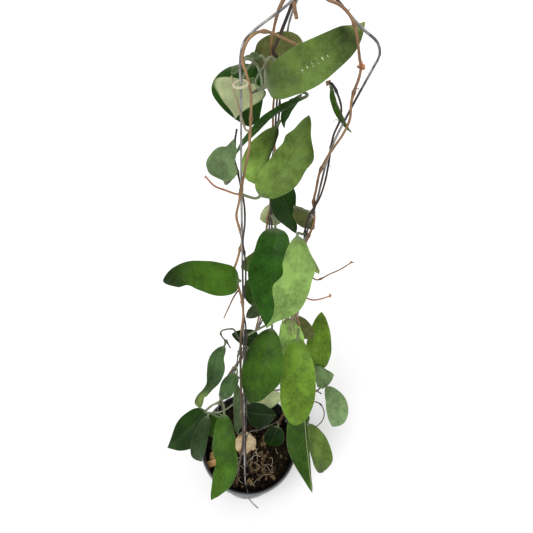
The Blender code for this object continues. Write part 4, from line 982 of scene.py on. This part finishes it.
# ================================================================ pot and mix
def build_pot(pot):
    rim, wall, top = LIP_RADIUS, pot.wall, POT_HEIGHT
    low = top - pot.lip_drop
    bead, groove, dish, soft, corner = 0.0011, 0.0006, 0.0003, 0.0004, 0.0015
    top_inner = rim - pot.lip_width
    floor = POT_BASE_RADIUS - wall
    profile = [(0, 0), (0.020, 0),
               *arc(POT_BASE_RADIUS - POT_FOOT_ROUND, POT_FOOT_ROUND, POT_FOOT_ROUND, -90, -10)]
    profile += [(POT_RIM_RADIUS - soft, low - 3 * soft), *arc(POT_RIM_RADIUS, low - soft, soft, 180, 90, 3)]
    profile += [*arc(rim - bead, low + bead, bead, -90, 25), (rim - groove, low + 2.6 * bead),
                (rim - groove, top - 2.4 * bead), *arc(rim - bead, top - bead, bead, -20, 90),
                (rim - 1.4 * bead, top - dish), (top_inner + 2 * soft, top - dish),
                *arc(top_inner + soft, top - soft, soft, 90, 180, 3)]
    profile += [(POT_RIM_RADIUS - wall + soft, low), (POT_RIM_RADIUS - wall - soft, low - 0.001),
                *arc(floor - corner, wall + corner, corner, 0, -90), (0, wall)]
    piece = finished("pot_shell", turned(profile, pot.segments), plastic_finish(pot))
    holes = []
    for i in range(DRAIN_HOLES):
        centre = heading(2 * math.pi * (i + 0.5) / DRAIN_HOLES) * DRAIN_RING_RADIUS
        holes.append((centre, UP, DRAIN_HOLE_RADIUS))
    for side, azimuth in EYE_AZIMUTHS.items():
        holes.append((eye(side), heading(math.radians(azimuth)), EYE_RADIUS))
    drilled(piece, holes)
    belongs(piece, "pot_plastic", "pot")


def build_bed(finish):
    """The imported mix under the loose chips, its top uneven."""
    clear = POT_WALL + 2 * GAP
    bottom, low, shoulder = 0.0015, 0.0035, MIX_TOP - 0.003
    side = [(0, bottom), (wall_outside(low) - clear - 0.002, bottom), (wall_outside(low) - clear, low),
            (wall_outside(shoulder) - clear, shoulder - 0.002)]
    rim = wall_outside(shoulder) - clear - 0.001
    rings = 14
    top = [(rim * (1 - i / rings), shoulder) for i in range(rings)]
    bm = turned([*side, *top, (0, shoulder)], 64)
    for v in bm.verts:
        if v.co.z > shoulder - 0.0015:
            v.co.z += 0.0035 * noise.noise(v.co * 90) + 0.0015 * noise.noise(v.co * 300)
    return finished("mix_bed", bm, finish)


def chip(rng, size, centre, tint):
    """One angular piece of bark."""
    bm = bmesh.new()
    bmesh.ops.create_cube(bm, size=1.0)
    bmesh.ops.subdivide_edges(bm, edges=bm.edges[:], cuts=1, use_grid_fill=True)
    spread = Matrix.Diagonal((size, size * rng.uniform(0.45, 0.8), size * rng.uniform(0.22, 0.45), 1))
    for v in bm.verts:
        v.co *= rng.uniform(0.72, 1.12)
    lean = Quaternion(Vector((rng.gauss(0, 1), rng.gauss(0, 1), 0.1)).normalized(), rng.gauss(0, 0.45))
    spin = Quaternion(UP, rng.uniform(0, 2 * math.pi))
    turn = (lean @ spin).to_matrix().to_4x4()
    bmesh.ops.transform(bm, matrix=Matrix.Translation(centre) @ turn @ spread, verts=bm.verts)
    layer = bm.verts.layers.float.new("tint")
    for v in bm.verts:
        v[layer] = tint
    return bm


def strew(name, rng, chips, size, height, spot, finish):
    """Chips over the mix, spread from a spot (x, y, spread), or all over if the spot is None."""
    bm = bmesh.new()
    laid = 0
    while laid < chips:
        if spot is None:
            radius, turn = CHIP_REACH * math.sqrt(rng.random()), rng.uniform(0, 2 * math.pi)
            x, y = radius * math.cos(turn), radius * math.sin(turn)
        else:
            x, y = rng.gauss(spot[0], spot[2]), rng.gauss(spot[1], spot[2])
        long = size * rng.uniform(0.6, 1.5)
        if math.hypot(x, y) > CHIP_REACH - long * 0.5:
            continue
        centre = Vector((x, y, height + rng.uniform(-0.0015, 0.0022)))
        append(bm, chip(rng, long, centre, rng.random()))
        laid += 1
    return belongs(finished(name, bm, finish, crease=CHIP_CREASE), "bark_mix")


def build_mix(mix):
    rng = random.Random(MIX_SEED)
    bark, tan = tuple(mix.bark), tuple(mix.tan)
    old = chip_finish("bark_old", bark, shade(tan, 0.2), shade(bark, 0.3))
    fresh = chip_finish("bark_fresh", tan, shade(tan, 1.4), shade(tan, 0.3))
    belongs(build_bed(old), "bark_mix", "potting_mix")
    half, size = mix.pale_chips // 2, mix.chip_length
    strew("bark_chips", rng, mix.chips, size, MIX_TOP - 0.001, None, old)
    strew("bark_chips_pale", rng, half, size, MIX_TOP + 0.001, (0.018, -0.030, 0.018), fresh)
    strew("bark_chips_tan", rng, half, size * 0.8, MIX_TOP + 0.0005, None, fresh)
    red = tuple(mix.orange)
    orange = chip_finish("bark_orange", red, shade(red, 1.4), shade(red, 0.4))
    bm = bmesh.new()
    append(bm, chip(rng, 0.016, mm(-52, -33, 99), 0.8))
    append(bm, chip(rng, 0.009, mm(-55, -24, 99), 0.2))
    belongs(finished("bark_chip_orange", bm, orange, crease=CHIP_CREASE), "bark_mix")
    build_roots(mix, rng)


def build_roots(mix, rng):
    """Fine pale roots that wander over the chips."""
    cream = bark_finish("root_cream", (0.42, 0.34, 0.22), (0.62, 0.55, 0.42), (0.16, 0.10, 0.06))
    bm = bmesh.new()
    for _ in range(mix.roots):
        place = Vector((rng.gauss(0.024, 0.018), rng.gauss(-0.030, 0.018), MIX_TOP + 0.003))
        if math.hypot(place.x, place.y) > 0.058:
            continue
        turn = rng.uniform(0, 2 * math.pi)
        points = [place]
        for _ in range(rng.randint(4, 8)):
            turn += rng.gauss(0, 0.7)
            place = place + heading(turn) * 0.004 + UP * rng.uniform(-0.0012, 0.0012)
            if math.hypot(place.x, place.y) > 0.064:
                break
            points.append(place)
        if len(points) > 2:
            path = smooth_path(points, 0.0015)
            append(bm, tube(path, [rng.uniform(0.00018, 0.0004)] * len(path), 5))
    belongs(finished("root_threads", bm, cream), "bark_mix")


# ================================================================ hanger
def build_hanger(hanger):
    zinc = wire_finish(hanger)
    for side, path in WIRE_PATHS.items():
        bm = tube(path, [hanger.wire_radius] * len(path), hanger.sides)
        belongs(finished(f"wire_{side}", bm, zinc), "wire_steel", f"hanger_wire_{side}")
    build_sleeve(zinc)
    shank = bundle(HOOK_PLACE)
    rise = SLEEVE_LENGTH + HOOK_RISE
    centre = shank + UP * rise + Vector((HOOK_RADIUS, 0, 0))
    bow = []
    for i in range(HOOK_ROWS + 1):
        turn = math.radians(180 - HOOK_SWEEP * i / HOOK_ROWS)
        bow.append(centre + Vector((math.cos(turn), 0, math.sin(turn))) * HOOK_RADIUS)
    shaft = [shank + UP * (0.001 + (rise - 0.002) * i / 12) for i in range(12)]
    path = [*shaft, *bow]
    bm = tube(path, [hanger.wire_radius] * len(path), hanger.sides)
    belongs(finished("hook", bm, zinc), "wire_steel", "hanger_hook")


def build_sleeve(finish):
    """The sleeve, with two crimps pressed into its sides."""
    bm = bmesh.new()
    for radius in (SLEEVE_RADIUS, SLEEVE_BORE):
        bmesh.ops.create_circle(bm, segments=40, radius=radius)
    bmesh.ops.bridge_loops(bm, edges=bm.edges)
    raised = bmesh.ops.extrude_face_region(bm, geom=bm.faces[:])
    top = [v for v in raised["geom"] if isinstance(v, bmesh.types.BMVert)]
    bmesh.ops.translate(bm, vec=UP * SLEEVE_LENGTH, verts=top)
    uprights = [e for e in bm.edges if abs(e.verts[0].co.z - e.verts[1].co.z) > SLEEVE_LENGTH / 2]
    bmesh.ops.subdivide_edges(bm, edges=uprights, cuts=29)
    for v in bm.verts:
        out = math.hypot(v.co.x, v.co.y)
        if out < (SLEEVE_RADIUS + SLEEVE_BORE) / 2:
            continue
        dent = sum(math.exp(-((v.co.z - SLEEVE_LENGTH * share) / 0.0016) ** 2) for share in (0.28, 0.72))
        flat = abs(v.co.y / out) ** 3
        press = 1 - 0.13 * dent * flat
        v.co.x *= press
        v.co.y *= press
    bmesh.ops.translate(bm, vec=APEX, verts=bm.verts)
    belongs(finished("sleeve", bm, finish), "wire_steel", "hanger_sleeve")


# ================================================================ vines and stems
def knots_on(name, path, rng, spacing):
    """How far each ring of a stem swells: at its leaves, and now and then between them."""
    runs = run_lengths(path)
    places = []
    run = rng.uniform(0.3, 1.0) * spacing
    while run < runs[-1] - 0.005:
        places.append(run)
        run += spacing * rng.uniform(0.7, 1.3)
    for values in LEAVES.values():
        if values["on"] == name:
            start, _ = growing_point(name, values["swelling"] or values["base"], values["node"])
            nearest = min(range(len(path)), key=lambda i: (path[i] - start).length)
            places.append(runs[nearest])
    knot_reach = 0.0021
    swell = []
    for run in runs:
        swell.append(min(1.0, sum(math.exp(-((run - place) / knot_reach) ** 2) for place in places)))
    return swell


def build_stem(name, stem, finish, vines):
    path = smooth_path(stem.points, vines.step)
    knots = knots_on(name, path, random.Random(name), vines.knot_spacing)
    last = len(path) - 1
    radii = []
    for i, swell in enumerate(knots):
        rough = 1 + 0.14 * noise.noise(path[i] * 160)
        taper = 1 + (STEM_TAPER - 1) * i / last
        radii.append(stem.radius * taper * rough * (1 + vines.knot * swell))
    return finished(name + "_bark", tube(path, radii, vines.sides, knots), finish)


def vine_finishes(vines):
    tan, brown, dark = tuple(vines.tan), tuple(vines.brown), tuple(vines.dark)
    young, green = tuple(vines.young), tuple(vines.green)
    return {
        "tan": bark_finish("vine_tan", shade(tan, 0.8), shade(tan, 1.3), shade(brown, 0.6), 0.5,
                           dark_below=0.38),
        "brown": bark_finish("vine_brown", brown, tan, dark, 0.5),
        "dark": bark_finish("vine_dark", shade(dark, 0.7), shade(brown, 0.7), shade(dark, 0.3), 0.22),
        "pale": bark_finish("vine_pale", (0.27, 0.22, 0.13), (0.42, 0.36, 0.24), tan, 0.5),
        "young": bark_finish("stem_young", young, shade(green, 0.9), dark, 0.5, 0.5),
        "green": bark_finish("stem_green", green, shade(green, 1.6), brown, 0.5, 0.5),
        "orange": bark_finish("peduncle_orange_bark", tuple(vines.orange), tan, brown, 0.4),
        "cream": bark_finish("tendril_cream", (0.52, 0.47, 0.30), (0.70, 0.66, 0.48), tan, 0.4),
    }


def build_vines(vines):
    finishes = vine_finishes(vines)
    for name, stem in GROWN.items():
        if name.startswith("peduncle"):
            slot = "dry_stalk"
        elif stem.kind in ("young", "pale"):
            slot = "young_stem"
        else:
            slot = "woody_vine"
        belongs(build_stem(name, stem, finishes[stem.kind], vines), slot, name)
    for name, (kind, radius, points) in EXTRA_STEMS.items():
        path = smooth_path(points, vines.step)
        radii = [radius * (1 + 0.12 * noise.noise(p * 200)) for p in path]
        slot = "dry_stalk" if kind == "orange" else "young_stem"
        belongs(finished(name, tube(path, radii, 8), finishes[kind]), slot)
    build_buds(finishes)
    build_aerial_roots(finishes)


def build_buds(finishes):
    """The scarred ends of the peduncles, and the knots with small buds on the vines."""
    rng = random.Random(BUD_SEED)
    for name, (kind, centre, size, buds) in BUD_CLUSTERS.items():
        bm = bmesh.new()
        for _ in range(buds):
            out = Vector((rng.gauss(0, 1), rng.gauss(0, 1), rng.gauss(0, 1))).normalized()
            turn = UP.rotation_difference(out).to_matrix().to_4x4()
            place = Matrix.Translation(centre + out * size * 0.8) @ turn
            bud = bmesh.new()
            bmesh.ops.create_icosphere(bud, subdivisions=2, radius=size * rng.uniform(0.45, 0.7))
            stretch = Matrix.Diagonal((0.7, 0.7, 1.3, 1))
            bmesh.ops.transform(bud, matrix=place @ stretch, verts=bud.verts)
            mark(bud)
            append(bm, bud)
        slot = "dry_stalk" if kind == "orange" else "woody_vine"
        belongs(finished(name, bm, finishes[kind]), slot)


def mark(bm):
    """Gives a shape the marks that a bark's finish reads."""
    layers = [bm.verts.layers.float.new(name) for name in ("along", "ring_x", "ring_y", "knot")]
    for v in bm.verts:
        for layer, value in zip(layers, (v.co.z, v.co.x * 200, v.co.y * 200, 0.2)):
            v[layer] = value


def build_aerial_roots(finishes):
    """Short roots that the vines put out at their nodes, against the wires and the air."""
    rng = random.Random(ROOT_SEED)
    bm = bmesh.new()
    for name in ("vine_front_tan", "vine_right_brown", "vine_right_dark", "vine_back_brown",
                 "vine_back_dark", "stem_left"):
        path = GROWN[name].path
        along = tangents(path)
        for i in range(4, len(path) - 3, 3):
            if rng.random() < 0.35:
                continue
            side = along[i].orthogonal().normalized()
            side = Quaternion(along[i], rng.uniform(0, 2 * math.pi)) @ side
            reach = rng.uniform(0.002, 0.0055)
            start = path[i] + side * GROWN[name].radius * 0.6
            bend = start + side * reach * 0.6 + along[i] * rng.uniform(-0.3, 0.3) * reach
            end = bend + side * reach * 0.4 + Vector((0, 0, -reach * 0.5))
            root = smooth_path([start, bend, end], 0.001)
            radii = [0.00042 * (1 - 0.6 * k / (len(root) - 1)) for k in range(len(root))]
            append(bm, tube(root, radii, 5))
    for points in HANGING_ROOTS:
        root = smooth_path(points, 0.0015)
        append(bm, tube(root, [0.00055] * len(root), 5))
    belongs(finished("aerial_roots", bm, finishes["pale"]), "woody_vine")


# ================================================================ leaves
FRONT_UP = Vector((0, -0.75, 0.66)).normalized()


def outline(u, low, high):
    """Half-width of a blade along its length, 1 at its widest."""
    widest = low / (low + high)
    return (u / widest) ** low * ((1 - u) / (1 - widest)) ** high


def smooth_share(value, low, high):
    share = min(1.0, max(0.0, (value - low) / (high - low)))
    return share * share * (3 - 2 * share)


def reading(value, u):
    """A leaf's value at a share u of its length: a number, or a row of numbers from base to tip."""
    if not isinstance(value, tuple):
        return value
    place = min(max(u, 0.0), 0.9999) * (len(value) - 1)
    i = int(place)
    t = place - i
    before, here = value[max(i - 1, 0)], value[i]
    there, after = value[i + 1], value[min(i + 2, len(value) - 1)]
    bend = (2 * before - 5 * here + 4 * there - after) * t * t
    return 0.5 * (2 * here + (there - before) * t + bend + (3 * here - before - 3 * there + after) * t ** 3)


def bowed(value, u):
    """How far a midrib stands off its chord: a bow of this height, or a row of heights."""
    return reading(value, u) if isinstance(value, tuple) else value * 4 * u * (1 - u)


def blade_spine(values, rows):
    """Points, directions and faces of a blade's midrib, after its arch, sway, curl and twist."""
    base, tip = values["base"], values["tip"]
    chord = tip - base
    along = chord.normalized()
    face = (FRONT_UP - along * FRONT_UP.dot(along)).normalized()
    face = Quaternion(along, math.radians(values["turn"])) @ face
    side = along.cross(face)
    flat = []
    for i in range(rows + 1):
        u = i / rows
        off = face * bowed(values["arch"], u) + side * bowed(values["sway"], u)
        flat.append(base + chord * u + off * chord.length)

    def curl_at(u):
        amount = max(0.0, (u - values["curl_from"]) / (1 - values["curl_from"]))
        return Quaternion(side, math.radians(values["curl"]) * amount)

    points, faces = [flat[0]], []
    for i, (a, b) in enumerate(zip(flat, flat[1:])):
        points.append(points[-1] + curl_at((i + 0.5) / rows) @ (b - a))
    directions = tangents(points)
    for i, direction in enumerate(directions):
        u = i / rows
        curled = curl_at(u) @ face
        curled = (curled - direction * curled.dot(direction)).normalized()
        faces.append(Quaternion(direction, math.radians(reading(values["twist"], u))) @ curled)
    return points, directions, faces


def across_bend(values, s):
    """How far the blade is turned up at a share s of its half-width, in radians."""
    rolled = min(1.0, max(0.0, (-s - values["roll_from"]) / 0.35))
    degrees = values["cup"] * s + values["fold"] * math.tanh(s / 0.09) - values["roll"] * rolled
    return math.radians(degrees)


def blade_section(values, u, columns):
    """Points across a blade, each (s, out, rise, bend), from its right edge to its left."""
    strength = min(1.0, 5 * u) * min(1.0, 4 * (1 - u) + 0.25)
    halves = {}
    for sign in (1, -1):
        out = rise = before = 0.0
        half = []
        for k in range(1, columns + 1):
            s = sign * (k / columns) ** COLUMN_SPREAD
            bend = across_bend(values, (s + before) / 2) * strength
            out += math.cos(bend) * (s - before)
            rise += math.sin(bend) * (s - before)
            half.append((s, out, rise, across_bend(values, s) * strength))
            before = s
        halves[sign] = half
    return [*reversed(halves[1]), (0.0, 0.0, 0.0, 0.0), *halves[-1]]


def round_ring(centre, direction, face, radius, columns):
    side = direction.cross(face)
    return [centre + (side * math.cos(t) + face * math.sin(t)) * radius
            for t in (math.pi * k / (2 * columns) for k in range(4 * columns))]


def blade_ring(values, u, centre, direction, face, columns, sizes):
    """A closed ring across the blade at a share u of its length: over its top and back beneath."""
    side = direction.cross(face)
    share = outline(min(max(u, 0.004), 0.996), values["round"], values["point"])
    stalk, size = sizes.stalk_radius, (values["tip"] - values["base"]).length
    half_width = max(values["width"] / 2 * share, stalk * (1 - 0.6 * u))
    flat = smooth_share(u, 0.0, 0.10)
    half_thick = stalk * 0.8 * (1 - flat) + sizes.thickness / 2 * (1 - 0.4 * u) * flat
    rib = math.sin(math.pi * min(u * 1.1, 1.0)) ** 0.5 if u < 0.9 else 0.0
    top, bottom = [], []
    run = 2 * math.pi * values["waves"] * u
    for s, out, rise, bend in blade_section(values, u, columns):
        ripple = 1 + values["ripple"] * math.sin(run * 1.35 + (2.0 if s < 0 else 0.3))
        reach = half_width * reading(values["left" if s < 0 else "right"], u) * ripple
        wave = values["wave"] * values["width"] * s * s
        wave *= math.sin(run + (2.3 if s < 0 else 0.4))
        spot = centre + side * out * reach
        soft = 0.0011 * noise.noise(spot * 48) * min(1.0, 6 * u * (1 - u))
        slant = u * size - VEIN_SLANT * abs(s) * half_width
        pucker = values["pucker"] * math.sin(slant / sizes.vein_spacing * 2 * math.pi)
        pucker *= abs(s) * (1 - abs(s)) * 4 * min(1.0, 8 * u * (1 - u))
        spot = spot + face * (rise * reach + wave * min(1.0, 4 * u) + soft + pucker)
        normal = face * math.cos(bend) - side * math.sin(bend)
        body = half_thick * math.sqrt(max(0.0, 1 - abs(s) ** 5))
        hollow = sizes.groove * rib * math.exp(-(s * half_width / 0.0007) ** 2)
        keel = sizes.groove * 1.6 * rib * math.exp(-(s * half_width / 0.0009) ** 2)
        top.append(spot + normal * (body - hollow))
        bottom.append(spot - normal * (body + keel))
    return [*top, *reversed(bottom[1:-1])]


def stalk_path(start, out, base, direction, rows):
    """A stalk that leaves its stem square and runs into its blade."""
    reach = (base - start).length
    bend_a, bend_b = start + out * reach * 0.4, base - direction * reach * 0.35
    path = []
    for i in range(rows + 1):
        t = i / rows
        middle = bend_a.lerp(bend_b, t)
        path.append(start.lerp(bend_a, t).lerp(middle, t).lerp(middle.lerp(bend_b.lerp(base, t), t), t))
    return path


def build_leaf(name, values, sizes, finish, rows, columns):
    """One leaf: its stalk from the stem that it is on, and its blade."""
    points, directions, faces = blade_spine(values, rows)
    size = (values["tip"] - values["base"]).length
    rings, stalk_rows = [], 0
    if values["on"]:
        start, out = growing_point(values["on"], values["base"], values["node"])
        stalk = stalk_path(start - out * STALK_ROOT, out, points[0], directions[0], 12)
        stalk_rows = len(stalk)
        for i, (point, along) in enumerate(zip(stalk, tangents(stalk))):
            lean = (faces[0] - along * faces[0].dot(along)).normalized()
            thick = sizes.stalk_radius * (1.15 - 0.15 * math.sin(math.pi * i / (stalk_rows - 1)))
            rings.append(round_ring(point, along, lean, thick, columns))
    first = 1 if rings else 0
    for i in range(first, rows + 1):
        rings.append(blade_ring(values, i / rows, points[i], directions[i], faces[i], columns, sizes))
    shares = [(k / columns) ** COLUMN_SPREAD for k in range(columns, -1, -1)]
    shares = [*shares, *[-s for s in reversed(shares[:-1])]]
    shares = [*shares, *reversed(shares[1:-1])]

    def share_along(row):
        return max(0.0, (row - stalk_rows + first) / rows)

    def across(row, column):
        u = share_along(row)
        share = outline(min(max(u, 0.004), 0.996), values["round"], values["point"])
        return shares[column] * share * values["width"] / 2

    def scratched(row, column):
        line = math.exp(-((shares[column] - 0.03) / 0.08) ** 2)
        return values["scratch"] * line * smooth_share(share_along(row), 0.30, 0.36) * (
            1 - smooth_share(share_along(row), 0.60, 0.66))

    plain = Vector(getattr(sizes, values["tone"]))
    shining = Vector(sizes.glow)

    # painted light and shade: the leaf's colour made lighter or darker along the blade and towards each
    # margin, then mixed towards the glow colour
    def painted_light_tone(row, column):
        u, s = share_along(row), shares[column]
        light = reading(values["shade"], u)
        light *= 1 + (values["shade_left" if s < 0 else "shade_right"] - 1) * abs(s) ** 1.5
        return (plain * light).lerp(shining, min(1.0, max(0.0, reading(values["glow"], u))))

    marks = {
        "across": across,
        "along": lambda row, column: share_along(row) * size,
        "margin": lambda row, column: abs(shares[column]) if row >= stalk_rows else 0.0,
        "upper": lambda row, column: 1.0 if column <= 2 * columns else 0.0,
        "stalk": lambda row, column: 1.0 - smooth_share(row - stalk_rows, -2, 2) if stalk_rows else 0.0,
        "scratch": scratched,
        "rib": lambda row, column: values["rib"],
        "under": lambda row, column: values["under"],
        "tone": painted_light_tone,
    }
    return finished(name, skin(rings, marks), finish, crease=70.0)


def build_leaves(sizes):
    wax = leaf_finish(sizes, tuple(bpy.context.scene.hoya_vines.green))
    fine, plain = (sizes.rows, sizes.columns), (30, 7)
    for name, values in LEAVES.items():
        belongs(build_leaf(name + "_blade", values, sizes, wax, *fine), "leaf_green", name)
    for name, values in EXTRA_LEAVES.items():
        belongs(build_leaf(name, values, sizes, wax, *plain), "leaf_green")
    piece = build_leaf("dead_leaf_blade", DEAD_LEAF, sizes, dry_leaf_finish(sizes), *fine)
    belongs(piece, "dry_leaf", "dead_leaf")


# ================================================================ stage
def build_stage(stage):
    bm = bmesh.new()
    bmesh.ops.create_circle(bm, cap_ends=True, segments=96, radius=stage.floor_radius)
    bmesh.ops.translate(bm, vec=(0, 0, -0.0002), verts=bm.verts)
    mesh = bpy.data.meshes.new("floor")
    bm.to_mesh(mesh)
    bm.free()
    g = Graph("studio_floor")
    mesh.materials.append(g.finish(Base_Color=tuple(stage.floor), Roughness=0.9, Specular_IOR_Level=0.1))
    added("floor", mesh)

    world = bpy.data.worlds.new("studio")
    world.use_nodes = True
    sky = world.node_tree.nodes["Background"]
    sky.inputs["Color"].default_value = (1.0, 1.0, 1.0, 1.0)
    sky.inputs["Strength"].default_value = stage.sky
    bpy.context.scene.world = world
    bpy.context.scene.view_settings.view_transform = "Standard"

    light("key_light", (-0.45, -0.55, 1.0), 35, stage.key)
    light("fill_light", (0.9, -0.2, 0.8), 60, stage.fill)
    camera(stage)


def light(name, source, spread, strength):
    """A distant light that comes from a direction, softened over an angle in degrees."""
    data = bpy.data.lights.new(name, "SUN")
    data.energy, data.angle = strength, math.radians(spread)
    added(name, data).rotation_euler = Vector(source).to_track_quat("Z", "Y").to_euler()


def camera(stage):
    """The camera in front of the pot, as high as the hanger's top, looking down at the plant."""
    right, ahead = Vector((1, 0, 0)), Vector((0, math.cos(stage.tilt), -math.sin(stage.tilt)))
    level_up = right.cross(ahead)
    turned_right = right * math.cos(stage.roll) + level_up * math.sin(stage.roll)
    turned_up = level_up * math.cos(stage.roll) - right * math.sin(stage.roll)
    data = bpy.data.cameras.new("camera")
    data.lens, data.sensor_width = stage.lens, 36.0
    data.clip_start = 0.01
    made = added("camera", data)
    made.location = CAMERA_PLACE
    made.rotation_euler = Matrix((turned_right, turned_up, -ahead)).transposed().to_euler()
    bpy.context.scene.camera = made


# ================================================================ operators, panel, registration
class HOYA_OT_pot(bpy.types.Operator):
    """Turn the pot, with its lip, wire eyes and drain holes"""
    bl_idname = "hoya.pot"
    bl_label = "Nursery pot"

    def execute(self, context):
        build_pot(context.scene.hoya_pot)
        return {"FINISHED"}


class HOYA_OT_mix(bpy.types.Operator):
    """Fill the pot with bark chips and root threads"""
    bl_idname = "hoya.mix"
    bl_label = "Bark mix"

    def execute(self, context):
        build_mix(context.scene.hoya_mix)
        return {"FINISHED"}


class HOYA_OT_hanger(bpy.types.Operator):
    """Bend the three wires and add the sleeve and the hook"""
    bl_idname = "hoya.hanger"
    bl_label = "Wire hanger"

    def execute(self, context):
        build_hanger(context.scene.hoya_hanger)
        return {"FINISHED"}


class HOYA_OT_vines(bpy.types.Operator):
    """Wind the vines round the wires, with their side shoots, buds and roots"""
    bl_idname = "hoya.vines"
    bl_label = "Vines and stems"

    def execute(self, context):
        build_vines(context.scene.hoya_vines)
        return {"FINISHED"}


class HOYA_OT_leaves(bpy.types.Operator):
    """Shape every leaf with its stalk, folds and waves"""
    bl_idname = "hoya.leaves"
    bl_label = "Leaves"

    def execute(self, context):
        build_leaves(context.scene.hoya_leaves)
        return {"FINISHED"}


class HOYA_OT_stage(bpy.types.Operator):
    """Set up the floor, the soft light and the camera"""
    bl_idname = "hoya.stage"
    bl_label = "Stage"

    def execute(self, context):
        build_stage(context.scene.hoya_stage)
        return {"FINISHED"}


class HOYA_PT_panel(bpy.types.Panel):
    """Lists the plant's pieces and their sizes and colours"""
    bl_idname = "HOYA_PT_panel"
    bl_label = "Potted hoya"
    bl_space_type = "VIEW_3D"
    bl_region_type = "UI"
    bl_category = "Hoya"

    def draw(self, context):
        for key, group in GROUPS.items():
            box = self.layout.box()
            box.operator(f"hoya.{key}")
            for name in group.__annotations__:
                box.prop(getattr(context.scene, f"hoya_{key}"), name)


GROUPS = {"stage": HoyaStage, "pot": HoyaPot, "mix": HoyaMix, "hanger": HoyaHanger, "vines": HoyaVines,
          "leaves": HoyaLeaves}
OPERATORS = (HOYA_OT_stage, HOYA_OT_pot, HOYA_OT_mix, HOYA_OT_hanger, HOYA_OT_vines, HOYA_OT_leaves)


def register():
    for made in (*GROUPS.values(), *OPERATORS, HOYA_PT_panel):
        bpy.utils.register_class(made)
    for key, group in GROUPS.items():
        setattr(bpy.types.Scene, f"hoya_{key}", bpy.props.PointerProperty(type=group))


def unregister():
    for key in GROUPS:
        delattr(bpy.types.Scene, f"hoya_{key}")
    for made in (HOYA_PT_panel, *reversed(OPERATORS), *reversed(GROUPS.values())):
        bpy.utils.unregister_class(made)


def main():
    register()
    for key in GROUPS:
        getattr(bpy.ops.hoya, key)()
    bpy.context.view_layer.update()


if __name__ == "__main__":
    main()
